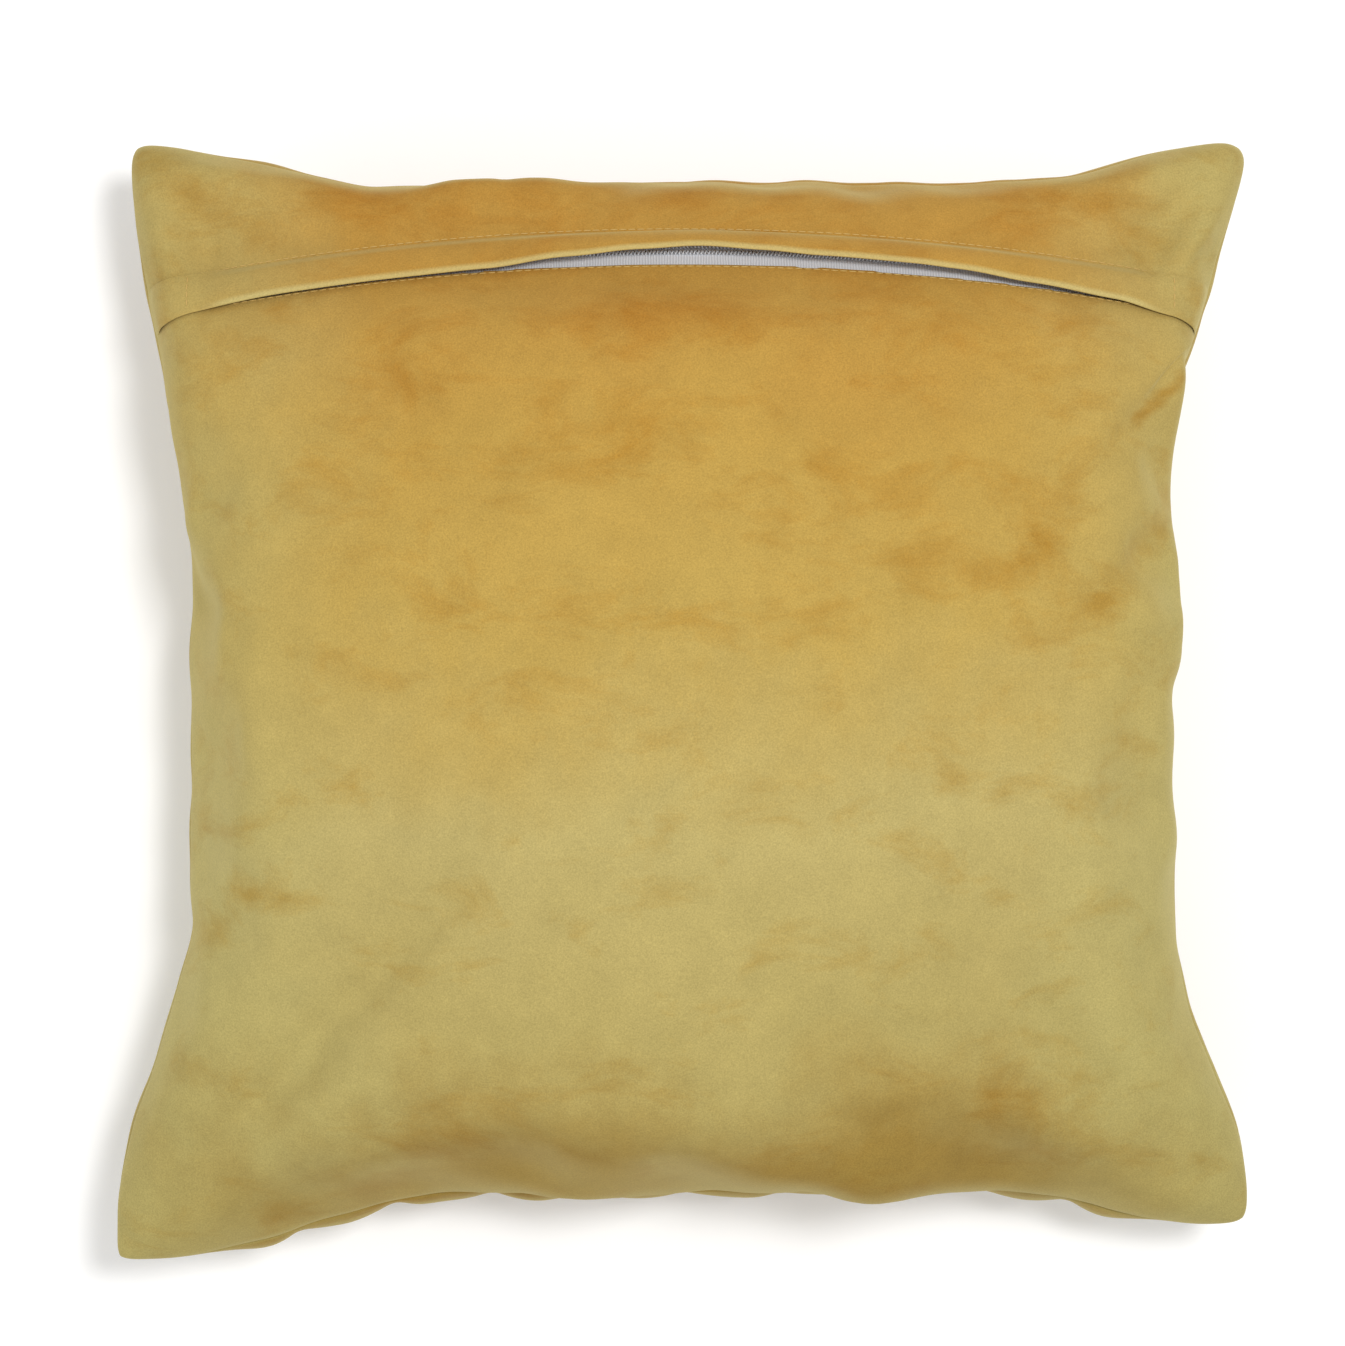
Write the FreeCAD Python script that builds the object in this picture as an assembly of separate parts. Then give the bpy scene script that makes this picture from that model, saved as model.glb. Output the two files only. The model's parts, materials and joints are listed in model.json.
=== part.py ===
"""Velvet throw pillow with a lapped zip, resting on its front with the zip side up."""
import FreeCAD, Part
import math
import os
from FreeCAD import Vector

# X runs across the pillow, Y towards its zip edge and Z up.
# The origin is on the surface it rests on, below its middle. Millimetres and degrees.

# Outline of the filled cover: half sizes at the corners and halfway along its sides
CORNER_X = 223.0
CORNER_Y = 220.0
SIDE_X = 197.0
SIDE_Y = 199.0

# Heights: the seam round the edge, and how far each face crowns away from it
SEAM_Z = 66.0
BACK_CROWN = 86.0
FRONT_CROWN = 76.0
CORNER_THINNING = 0.26

# Cloth layers and the room between them
VELVET_T = 1.2
COVER_GAP = 0.7
TICKING_T = 0.5
FILLING_GAP = 0.6
FILLING_STEP = 0.2
THREAD_T = 0.35
THREAD_CLEAR = 0.12
SEAM_THREAD_H = 0.5
STITCH_CLEAR = 0.25
CORNER_SLACK = 3.0

# Zip line: a circular arc, measured at the stitching along the root of the flap
ZIP_Y = 178.0
ZIP_RADIUS = 720.0
ZIP_HALF_LENGTH = 180.0
TRAVEL_HALF = 162.0
TILT_OFFSET = 6.0
BAND_ABOVE = 5.0
BAND_BELOW = 27.0
BAND_FADE = 30.0
BAND_PAST_ZIP = 2.0
BAND_END_FADE = 24.0
SEAM_FADE = 16.0

# Tape and coil, across the zip from the root of the flap
CHAIN_FROM_ROOT = 7.5
TAPE_W = 12.0
TAPE_T = 0.55
COIL_W = 2.2
COIL_H = 1.6
COIL_SPLIT = 0.8
LAYER_GAP = 0.05

# Flap, its stitching and the edges of the two back panels
FLAP_W = 18.0
FLAP_T = 2.0
FLAP_CLEAR = 0.3
FLAP_HALF_LENGTH = 62.0
FLAP_END_GAP = 0.5
ROOT_GAP = 0.3
ROOT_RISE = 3.7
ROOT_SINK = 0.4
FLAP_PAST_ZIP = 12.0
HEM_W = 8.0
LAP = 1.5
TOPSTITCH_FROM_ROOT = 1.0
EDGE_STITCH_FROM_EDGE = 1.3
EDGE_STITCH_SHORT = 8.0
TACK_PAST_ZIP = 8.0
SLOT_PAST_ZIP = 0.4
SLOT_REACH = 30.0

# Slider and pull tab
SLIDER_L = 8.4
SLIDER_PLATE_T = 0.7
SLIDER_FLANGE_T = 0.5
SLIDER_CLEAR = 0.1
SLIDER_CORNER = 1.6
WEB_T = 0.35
WEB_L = 2.6
WEB_NOSE = 0.4
BRIDGE_SPAN = 4.4
BRIDGE_POST_R = 0.5
BRIDGE_BAR_T = 0.6
BRIDGE_BAR_W = 1.3
TAB_T = 0.8
TAB_LIFT = 0.6
TAB_CLEAR = 0.2
TAB_L = 16.0
TAB_NECK_W = 3.2
TAB_END_W = 4.8
TAB_EYE_R = 1.9
TAB_EYE_CLEAR = 0.25
TAB_GRIP_L = 5.0
TAB_GRIP_W = 1.4

# Surface fitting and cutting
GRID = 32
REACH = 60.0

# Layers counted inwards from the outside of the cover
INSERT_INSET = VELVET_T + COVER_GAP
TICKING_INSIDE = INSERT_INSET + TICKING_T
FILLING_INSET = TICKING_INSIDE + FILLING_GAP

# How much further each layer than the velvet stays out of the corners, which nothing fills
COVER_THREAD_SLACK = CORNER_SLACK
TICKING_SLACK = COVER_THREAD_SLACK + CORNER_SLACK
INSERT_THREAD_SLACK = TICKING_SLACK + CORNER_SLACK
FILLING_SLACK = INSERT_THREAD_SLACK + CORNER_SLACK

# Zip frame: `across` points down the pillow from the flap's root, `out` away from the arc's centre
TILT_Y = ZIP_Y - TILT_OFFSET
TILT = math.atan(BACK_CROWN * TILT_Y / (SIDE_Y * math.sqrt(SIDE_Y ** 2 - TILT_Y ** 2)))
ZIP_Z = SEAM_Z + BACK_CROWN * math.sqrt(1 - (ZIP_Y / SIDE_Y) ** 2)
APEX = Vector(0, ZIP_Y, ZIP_Z)
ACROSS = Vector(0, -math.cos(TILT), math.sin(TILT))
OUT = Vector(0, math.sin(TILT), math.cos(TILT))
CENTRE = APEX - OUT * ZIP_RADIUS
ZIP_TURN = FreeCAD.Rotation(Vector(1, 0, 0), -ACROSS, OUT, "ZXY")

# Radial levels from the outside of the lower panel, going down through the zip
HEM_BOTTOM = -2 * VELVET_T
TAPE_TOP = HEM_BOTTOM - LAYER_GAP
TAPE_BOTTOM = TAPE_TOP - TAPE_T
COIL_BOTTOM = TAPE_TOP + LAYER_GAP
COIL_TOP = COIL_BOTTOM + COIL_H
PLATE_BOTTOM = COIL_TOP + SLIDER_CLEAR
PLATE_TOP = PLATE_BOTTOM + SLIDER_PLATE_T
LOWER_PLATE_TOP = TAPE_BOTTOM - SLIDER_CLEAR
LOWER_PLATE_BOTTOM = LOWER_PLATE_TOP - SLIDER_PLATE_T
TAB_BOTTOM = PLATE_TOP + TAB_LIFT
TAB_TOP = TAB_BOTTOM + TAB_T
BAR_BOTTOM = TAB_TOP + TAB_CLEAR
BAR_TOP = BAR_BOTTOM + BRIDGE_BAR_T
FLAP_UNDER = BAR_TOP + FLAP_CLEAR
FLAP_TOP = FLAP_UNDER + FLAP_T
RECESS = -LOWER_PLATE_BOTTOM + FLAP_CLEAR - INSERT_INSET

# Places across the zip
LOWER_EDGE = FLAP_W - LAP
EDGE_STITCH = LOWER_EDGE + EDGE_STITCH_FROM_EDGE
SLIDER_HALF_W = COIL_SPLIT / 2 + COIL_W + SLIDER_CLEAR + SLIDER_FLANGE_T


def fade(distance, length):
    """Weight that is 1 up to nothing past the edge and falls smoothly to 0 at `length` past it."""
    t = min(max(distance / length, 0.0), 1.0)
    return 1 - t * t * (3 - 2 * t)


def seam_point(tu, tv, inset, slack):
    """Point of the pillow's plan at the seam's height, for tu and tv from -1 to 1."""
    u = math.sin(math.pi / 2 * tu)
    v = math.sin(math.pi / 2 * tv)
    x = u * (SIDE_X + (CORNER_X - slack - SIDE_X) * v * v - inset)
    y = v * (SIDE_Y + (CORNER_Y - slack - SIDE_Y) * u * u - inset)
    return Vector(x, y, SEAM_Z)


def crown_share(tu, tv):
    """Share of the crown at a plan point: elliptical at the middle, thinner towards the corners."""
    u = math.sin(math.pi / 2 * tu)
    v = math.sin(math.pi / 2 * tv)
    along_x = abs(math.cos(math.pi / 2 * tu)) ** (1 + 2 * CORNER_THINNING * v * v)
    along_y = abs(math.cos(math.pi / 2 * tv)) ** (1 + 2 * CORNER_THINNING * u * u)
    return along_x * along_y


def settled_on_zip(point, inset):
    """The point drawn onto the zip's arc where it lies in the band that the zip holds."""
    rel = point - CENTRE
    across = rel.dot(ACROSS)
    radial = rel - ACROSS * across
    weight = fade(-across - BAND_ABOVE, BAND_FADE)
    weight *= fade(across - BAND_BELOW, BAND_FADE)
    weight *= fade(abs(point.x) - ZIP_HALF_LENGTH - BAND_PAST_ZIP, BAND_END_FADE)
    weight *= 1 - fade(point.z - SEAM_Z, SEAM_FADE)
    if point.y < 0:
        weight = 0.0
    move = (ZIP_RADIUS - inset - radial.Length) * weight
    return point + radial.normalize() * move


def dome(inset, slack, crown, side, recess=0.0):
    """Solid between the seam's plane and one face of the pillow, `inset` inside the cover."""
    steps = [-1 + 2 * i / GRID for i in range(GRID + 1)]
    rows = []
    for tu in steps:
        row = []
        for tv in steps:
            rise = side * (crown - inset) * crown_share(tu, tv)
            point = seam_point(tu, tv, inset, slack) + Vector(0, 0, rise)
            if side > 0:
                point = settled_on_zip(point, inset + recess)
            row.append(point)
        rows.append(row)
    surface = Part.BSplineSurface()
    surface.interpolate(rows)
    skin = surface.toShape()
    rim = Part.Wire(Part.__sortEdges__(skin.Edges))
    solid = Part.makeSolid(Part.makeShell([skin, Part.Face(rim)]))
    solid.fix(1e-4, 1e-4, 1e-3)
    if solid.Volume < 0:
        solid.reverse()
    return solid


def back_dome(inset, slack=0.0, recess=0.0):
    """Back half of the pillow at one layer."""
    return dome(inset, slack, BACK_CROWN, 1, recess)


def front_dome(inset, slack=0.0):
    """Front half of the pillow at one layer, flattened where the pillow rests on it."""
    reach = 2 * CORNER_X
    room = Part.makeBox(2 * reach, 2 * reach, SEAM_Z + REACH, Vector(-reach, -reach, inset))
    return dome(inset, slack, FRONT_CROWN, -1).common(room)


def plan_slab(inset, slack, height):
    """Flat slab of the pillow's plan, centred on the seam's height."""
    steps = [-1 + 2 * i / GRID for i in range(GRID + 1)]
    sides = [
        [seam_point(t, -1, inset, slack) for t in steps],
        [seam_point(1, t, inset, slack) for t in steps],
        [seam_point(-t, 1, inset, slack) for t in steps],
        [seam_point(-1, -t, inset, slack) for t in steps],
    ]
    edges = []
    for points in sides:
        curve = Part.BSplineCurve()
        curve.interpolate(points)
        edges.append(curve.toShape())
    face = Part.Face(Part.Wire(edges))
    slab = face.extrude(Vector(0, 0, height))
    slab.translate(Vector(0, 0, -height / 2))
    return slab


def seam_thread(inset, slack):
    """Closed line of seam thread just inside a layer."""
    outer = plan_slab(inset + THREAD_CLEAR, slack, SEAM_THREAD_H)
    inner = plan_slab(inset + THREAD_CLEAR + THREAD_T, slack, SEAM_THREAD_H)
    return outer.cut(inner)


def zip_angle(x):
    """Angle along the zip's arc of a place x, in degrees."""
    return math.degrees(math.asin(x / ZIP_RADIUS))


def along_zip(profile, x_from, x_to):
    """Strip whose section, as (across, out) points, follows the zip's arc between two places."""
    points = [APEX + ACROSS * a + OUT * r for a, r in profile]
    face = Part.Face(Part.makePolygon(points + points[:1]))
    face.rotate(CENTRE, ACROSS, -zip_angle(x_to))
    return face.revolve(CENTRE, ACROSS, zip_angle(x_to) - zip_angle(x_from))


def strip(across_from, across_to, low, high, x_from, x_to):
    """Strip along the zip with a rectangular section."""
    profile = [(across_from, low), (across_to, low), (across_to, high), (across_from, high)]
    return along_zip(profile, x_from, x_to)


def half_space(across, side):
    """Block that holds everything on one side of the plane at `across` down the zip's axis."""
    size = 4 * (CORNER_X + CORNER_Y)
    start = across if side > 0 else across - size
    room = Part.makeBox(size, size, size, Vector(-size / 2, -start - size, -size / 2))
    room.Placement = FreeCAD.Placement(APEX, ZIP_TURN).multiply(room.Placement)
    return room


def flap_profile(root):
    """Section of the doubled flap, rising from its root to pass over the slider."""
    return [
        (root, -FLAP_T),
        (root + VELVET_T, -FLAP_T),
        (root + ROOT_RISE + VELVET_T, FLAP_UNDER),
        (FLAP_W, FLAP_UNDER),
        (FLAP_W, FLAP_TOP),
        (ROOT_GAP + ROOT_RISE, FLAP_TOP),
        (ROOT_GAP, -ROOT_SINK),
        (root, -ROOT_SINK),
    ]


def on_slider(shape):
    """Shape drawn at the origin (X along the travel, Z outwards) moved to the closed end."""
    seat = FreeCAD.Placement(APEX + ACROSS * CHAIN_FROM_ROOT, ZIP_TURN)
    shape.Placement = seat.multiply(shape.Placement)
    shape.rotate(CENTRE, ACROSS, -zip_angle(TRAVEL_HALF))
    return shape


def block(x_from, x_to, half_w, low, high):
    """Box along the slider's length, centred on the chain."""
    return Part.makeBox(x_to - x_from, 2 * half_w, high - low, Vector(x_from, -half_w, low))


def slider_plate(low, high):
    """Plate of the slider with rounded corners."""
    plate = block(-SLIDER_L / 2, SLIDER_L / 2, SLIDER_HALF_W, low, high)
    upright = [e for e in plate.Edges if abs(e.tangentAt(e.FirstParameter).z) > 0.5]
    return plate.makeFillet(SLIDER_CORNER, upright)


def make_slider():
    """Slider: two plates joined by a web at the nose, flanges over the coils and a bridge."""
    upper = slider_plate(PLATE_BOTTOM, PLATE_TOP)
    lower = slider_plate(LOWER_PLATE_BOTTOM, LOWER_PLATE_TOP)
    nose = SLIDER_L / 2 - WEB_NOSE
    web = block(nose - WEB_L, nose, WEB_T / 2, LOWER_PLATE_BOTTOM, PLATE_TOP)
    flange_end = SLIDER_L / 2 - SLIDER_CORNER
    flange = block(-flange_end, flange_end, SLIDER_HALF_W, (COIL_BOTTOM + COIL_TOP) / 2, PLATE_TOP)
    room = SLIDER_HALF_W - SLIDER_FLANGE_T
    flange = flange.cut(block(-SLIDER_L, SLIDER_L, room, COIL_BOTTOM, PLATE_BOTTOM))
    posts = []
    for x in (-BRIDGE_SPAN / 2, BRIDGE_SPAN / 2):
        foot = Vector(x, 0, PLATE_BOTTOM)
        posts.append(Part.makeCylinder(BRIDGE_POST_R, BAR_TOP - PLATE_BOTTOM, foot))
    bar_end = BRIDGE_SPAN / 2 + BRIDGE_BAR_W / 2
    bar = block(-bar_end, bar_end, BRIDGE_BAR_W / 2, BAR_BOTTOM, BAR_TOP)
    return on_slider(upper.multiFuse([lower, web, flange, bar] + posts).removeSplitter())


def make_pull_tab():
    """Pull tab with its eye round the bridge's rear post, lying back along the zip."""
    eye_x = -BRIDGE_SPAN / 2
    tip = eye_x - TAB_L
    corners = [
        Vector(eye_x, -TAB_NECK_W / 2, TAB_BOTTOM),
        Vector(eye_x, TAB_NECK_W / 2, TAB_BOTTOM),
        Vector(tip, TAB_END_W / 2, TAB_BOTTOM),
        Vector(tip, -TAB_END_W / 2, TAB_BOTTOM),
    ]
    blade = Part.Face(Part.makePolygon(corners + corners[:1])).extrude(Vector(0, 0, TAB_T))
    ends = [e for e in blade.Edges if e.Vertexes[0].X < tip + TAB_T and abs(e.tangentAt(0).z) > 0.5]
    blade = blade.makeFillet(TAB_END_W / 4, ends)
    eye = Part.makeCylinder(TAB_EYE_R, TAB_T, Vector(eye_x, 0, TAB_BOTTOM))
    bore_r = BRIDGE_POST_R + TAB_EYE_CLEAR
    bore = Part.makeCylinder(bore_r, TAB_T, Vector(eye_x, 0, TAB_BOTTOM))
    grip_start = tip + TAB_END_W / 2
    grip = block(grip_start, grip_start + TAB_GRIP_L, TAB_GRIP_W / 2, TAB_BOTTOM, TAB_TOP)
    return on_slider(blade.fuse(eye).removeSplitter().cut(bore).cut(grip))


def make_cover():
    """The three velvet panels, with the moving stretch of the flap as its own piece."""
    inner_back = back_dome(VELVET_T)
    back = back_dome(0).cut(inner_back)
    front = front_dome(0).cut(front_dome(VELVET_T))
    # The panels meet at the lower one's folded edge, and the upper one is open along the zip
    slot_end = ZIP_HALF_LENGTH + SLOT_PAST_ZIP
    slot = strip(0, LOWER_EDGE, -SLOT_REACH, SLOT_REACH, -slot_end, slot_end)
    upper = back.common(half_space(LOWER_EDGE - LAYER_GAP, -1)).cut(slot)
    lower = back.common(half_space(LOWER_EDGE, 1))
    hem_end = ZIP_HALF_LENGTH
    upper_hem = strip(-HEM_W, 0, HEM_BOTTOM, -VELVET_T / 2, -hem_end, hem_end)
    lower_hem = strip(LOWER_EDGE, LOWER_EDGE + HEM_W, HEM_BOTTOM, -VELVET_T / 2, -hem_end, hem_end)
    flap_end = ZIP_HALF_LENGTH + FLAP_PAST_ZIP
    fixed_from = FLAP_HALF_LENGTH + FLAP_END_GAP
    flap_left = along_zip(flap_profile(-VELVET_T), -flap_end, -fixed_from)
    flap_right = along_zip(flap_profile(-VELVET_T), fixed_from, flap_end)
    upper = upper.multiFuse([upper_hem, flap_left, flap_right]).removeSplitter()
    lower = lower.fuse(lower_hem).removeSplitter()
    flap = along_zip(flap_profile(ROOT_GAP), -FLAP_HALF_LENGTH, FLAP_HALF_LENGTH)
    return {
        "front_panel": front,
        "back_upper_panel": upper,
        "back_lower_panel": lower,
        "zip_flap": flap,
    }


def make_zip():
    """Tapes and coils, closed along their whole length."""
    end = ZIP_HALF_LENGTH
    chain_up = CHAIN_FROM_ROOT - COIL_SPLIT / 2
    chain_down = CHAIN_FROM_ROOT + COIL_SPLIT / 2
    tape_up = CHAIN_FROM_ROOT - WEB_T / 2 - SLIDER_CLEAR
    tape_down = CHAIN_FROM_ROOT + WEB_T / 2 + SLIDER_CLEAR
    return {
        "zip_tape_upper": strip(tape_up - TAPE_W, tape_up, TAPE_BOTTOM, TAPE_TOP, -end, end),
        "zip_tape_lower": strip(tape_down, tape_down + TAPE_W, TAPE_BOTTOM, TAPE_TOP, -end, end),
        "zip_coil_upper": strip(chain_up - COIL_W, chain_up, COIL_BOTTOM, COIL_TOP, -end, end),
        "zip_coil_lower": strip(chain_down, chain_down + COIL_W, COIL_BOTTOM, COIL_TOP, -end, end),
        "zip_slider": make_slider(),
        "pull_tab": make_pull_tab(),
    }


def stitch_line(across, level, x_from, x_to):
    """Row of stitches along the zip, lying on a panel."""
    low = level + STITCH_CLEAR
    return strip(across - THREAD_T / 2, across + THREAD_T / 2, low, low + THREAD_T, x_from, x_to)


def tack(x):
    """Row of stitches across the flap at one end of the zip."""
    low = FLAP_TOP + LAYER_GAP
    inset = THREAD_T + ROOT_RISE
    return strip(inset, FLAP_W - THREAD_T, low, low + THREAD_T, x - THREAD_T / 2, x + THREAD_T / 2)


def make_threads():
    """The sewing threads of the cover and of the insert."""
    end = ZIP_HALF_LENGTH
    edge_end = end - EDGE_STITCH_SHORT
    tack_x = end + TACK_PAST_ZIP
    return {
        "flap_topstitch": stitch_line(-TOPSTITCH_FROM_ROOT, 0, -end, end),
        "edge_topstitch": stitch_line(EDGE_STITCH, 0, -edge_end, edge_end),
        "end_tack_left": tack(-tack_x),
        "end_tack_right": tack(tack_x),
        "cover_seam_thread": seam_thread(VELVET_T, COVER_THREAD_SLACK),
        "insert_seam_thread": seam_thread(TICKING_INSIDE, INSERT_THREAD_SLACK),
    }


def make_insert():
    """The fibre filling and the two ticking panels round it, pressed in below the zip."""
    outer_back = back_dome(INSERT_INSET, TICKING_SLACK, RECESS)
    outer_front = front_dome(INSERT_INSET, TICKING_SLACK)
    case_back = outer_back.cut(back_dome(TICKING_INSIDE, TICKING_SLACK, RECESS))
    case_front = outer_front.cut(front_dome(TICKING_INSIDE, TICKING_SLACK))
    filling_front = front_dome(FILLING_INSET + FILLING_STEP, FILLING_SLACK)
    filling = back_dome(FILLING_INSET, FILLING_SLACK, RECESS).fuse(filling_front)
    return {
        "insert_case_back": case_back,
        "insert_case_front": case_front,
        "insert_filling": filling.removeSplitter(),
    }


os.makedirs("parts", exist_ok=True)
pieces = {}
pieces.update(make_cover())
pieces.update(make_zip())
pieces.update(make_threads())
pieces.update(make_insert())
for name, shape in pieces.items():
    shape.exportStep("parts/" + name + ".step")
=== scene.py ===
import json
import math

import bmesh
import bpy
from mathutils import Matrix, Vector, noise
from mathutils.bvhtree import BVHTree
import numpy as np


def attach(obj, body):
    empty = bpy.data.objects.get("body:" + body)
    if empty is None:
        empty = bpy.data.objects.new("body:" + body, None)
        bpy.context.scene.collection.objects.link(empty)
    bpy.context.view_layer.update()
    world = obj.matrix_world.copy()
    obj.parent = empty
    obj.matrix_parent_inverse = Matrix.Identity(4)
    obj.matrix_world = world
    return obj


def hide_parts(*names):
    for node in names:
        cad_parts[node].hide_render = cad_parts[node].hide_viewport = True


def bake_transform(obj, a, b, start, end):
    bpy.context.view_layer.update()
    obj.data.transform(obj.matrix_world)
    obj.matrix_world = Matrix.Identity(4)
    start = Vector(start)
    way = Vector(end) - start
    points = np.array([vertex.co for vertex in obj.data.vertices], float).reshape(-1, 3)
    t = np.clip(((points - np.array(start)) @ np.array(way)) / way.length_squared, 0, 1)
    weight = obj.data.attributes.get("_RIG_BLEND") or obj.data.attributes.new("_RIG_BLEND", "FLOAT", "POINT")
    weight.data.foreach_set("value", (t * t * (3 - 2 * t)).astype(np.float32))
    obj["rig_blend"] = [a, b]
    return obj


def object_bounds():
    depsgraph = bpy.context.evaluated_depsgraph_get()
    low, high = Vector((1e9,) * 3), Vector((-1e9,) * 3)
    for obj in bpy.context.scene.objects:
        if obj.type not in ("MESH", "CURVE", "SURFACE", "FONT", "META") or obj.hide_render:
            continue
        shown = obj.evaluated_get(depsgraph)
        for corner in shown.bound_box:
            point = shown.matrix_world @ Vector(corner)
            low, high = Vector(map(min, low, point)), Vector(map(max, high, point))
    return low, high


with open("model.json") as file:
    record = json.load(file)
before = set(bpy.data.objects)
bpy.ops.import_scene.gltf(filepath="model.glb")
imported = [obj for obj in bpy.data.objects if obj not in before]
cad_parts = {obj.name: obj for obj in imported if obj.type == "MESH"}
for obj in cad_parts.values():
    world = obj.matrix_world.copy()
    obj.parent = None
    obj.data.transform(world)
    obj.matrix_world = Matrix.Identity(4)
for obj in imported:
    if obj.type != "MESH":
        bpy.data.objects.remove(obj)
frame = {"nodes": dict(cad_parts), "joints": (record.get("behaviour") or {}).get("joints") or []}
CAD_LOW, CAD_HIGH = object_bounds()

bl_info = {
    "name": "Velvet throw pillow",
    "version": (1, 0, 0),
    "blender": (4, 5, 0),
    "location": "3D View > Sidebar > Pillow",
    "description": "A velvet throw pillow with a lapped zip on its back, built round its packed frame",
    "category": "Object",
}

# Everything is in metres, X across the pillow, Y towards its zip edge and Z up.
MM = 0.001

# The zip line is an arc round an axis that the slider's joint carries
JOINTS = {joint["name"]: joint for joint in frame["joints"]}
ZIP_CENTRE = Vector(JOINTS["zip_travel"]["pos_m"])
ACROSS = Vector(JOINTS["zip_travel"]["axis"])
OUT = Vector((0, ACROSS.z, -ACROSS.y))
ZIP_RADIUS = 720 * MM
ZIP_HALF_LENGTH = 180 * MM
CHAIN_FROM_ROOT = 7.5 * MM
LOWER_EDGE = 16.5 * MM
VELVET_T = 1.2 * MM
TICKING_T = 0.5 * MM

# The band of cloth that the zip holds, and over how far the cloth lets go of it
BAND_ABOVE, ABOVE_FADE = 5 * MM, 30 * MM
BAND_BELOW, BELOW_FADE = 22 * MM, 50 * MM
BAND_PAST_END, END_FADE = 2 * MM, 24 * MM
SEAM_FADE = 16 * MM

# How far the cloth stands up at the flap's stitching and above it, in millimetres, and how far that runs
ROOT_SWELL, TOP_SWELL = 2.3, 1.0
SWELL_BELOW, SWELL_ABOVE = 12 * MM, 7 * MM
SWELL_TO, SWELL_FADE = 9 * MM, 26 * MM
SWELL_HALF_LENGTH, SWELL_END_FADE = 165 * MM, 30 * MM

# Tapes and coils: widths across the zip and levels below the panel
TAPE_W, TAPE_T, TAPE_TOP = 12 * MM, 0.55 * MM, -2.45 * MM
TAPE_GAP = 0.28 * MM
COIL_PITCH, COIL_WIRE_R = 1.4 * MM, 0.3 * MM
COIL_HALF_W, COIL_HALF_H = 1.1 * MM, 0.8 * MM
COIL_LEVEL, COIL_FROM_CHAIN = -1.6 * MM, 1.5 * MM

# Height of the seam, and of the back's crown above it from the imported box
SEAM_Z = 66 * MM
BACK_CROWN = CAD_HIGH.z - SEAM_Z

# Sewing
STITCH_PITCH = 3.4 * MM
STITCH_L = 2.9 * MM
THREAD_R = 0.23 * MM
STITCH_FROM_ROOT = 1.0 * MM
STITCH_FROM_EDGE = 1.3 * MM
TOPSTITCH_HALF_LENGTH = 184 * MM
EDGE_STITCH_HALF_LENGTH = 172 * MM
TACK_X = 188 * MM
TACK_FROM_ROOT, TACK_STITCHES = 2.6 * MM, 5
STITCH_PROUD, TACK_PROUD = 0.12 * MM, 0.1 * MM
COVER_SEAM_INSET = 2.2 * MM
INSERT_SEAM_INSET = 5.0 * MM

# Insert: how far its case and its filling lie inside the velvet, and how much deeper below the zip
TICKING_INSET = 3.2 * MM
FILLING_INSET = 4.6 * MM
ZIP_RECESS = 2.2 * MM

# How far the flap's fold stands open along its length: places from the middle and degrees
FLAP_LIFT = (
    (-172, 0), (-143, 2), (-100, 3), (-70, 5), (-40, 13), (-15, 20), (7, 24), (30, 20), (50, 16), (86, 14),
    (101, 12), (130, 5), (160, 2), (178, 0),
)
# How far past its usual width the fold lies along its length, in millimetres
FLAP_REACH = ((-202, 5), (-177, 1.5), (-150, 1), (-70, 1), (-40, 0), (130, 0), (160, 1), (183, 3), (202, 7.5))


class PillowCover(bpy.types.PropertyGroup):
    """Shape of the filled velvet cover."""

    cells: bpy.props.IntProperty(
        name="Cloth cells", description="Cells along each side of the inflated envelope", default=72, min=24
    )
    flat_half: bpy.props.FloatProperty(
        name="Flat half size", description="Half of the side of the flat cover", default=0.228, unit="LENGTH"
    )
    pressure: bpy.props.FloatProperty(
        name="Pressure", description="Pressure that fills the envelope", default=2.0
    )
    stiffness: bpy.props.FloatProperty(
        name="Stiffness", description="How strongly the cloth resists stretching", default=80.0
    )
    bending: bpy.props.FloatProperty(
        name="Bending", description="How strongly the cloth resists folding", default=2.0
    )
    steps: bpy.props.IntProperty(
        name="Steps", description="Steps of the inflation", default=40, min=2
    )
    front_crown: bpy.props.FloatProperty(
        name="Front crown", description="Depth of the front below the seam, before it is pressed flat",
        default=0.074, unit="LENGTH",
    )
    puff_w: bpy.props.FloatProperty(
        name="Puff width", description="Width of the front's pinched puffs", default=0.0385, unit="LENGTH"
    )
    puff_h: bpy.props.FloatProperty(
        name="Puff height", description="Height of the front's pinched puffs", default=0.040, unit="LENGTH"
    )
    puff_rise: bpy.props.FloatProperty(
        name="Puff rise", description="How far the puffs stand out", default=0.0065, unit="LENGTH"
    )
    fill: bpy.props.FloatProperty(
        name="Fill", description="How tightly the pillow is stuffed", default=0.85, min=0, max=1,
        subtype="FACTOR",
    )


def hex_colour(name, description, default):
    """A colour setting, held as an sRGB hex value."""
    return bpy.props.StringProperty(name=name, description=description, default=default)


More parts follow.
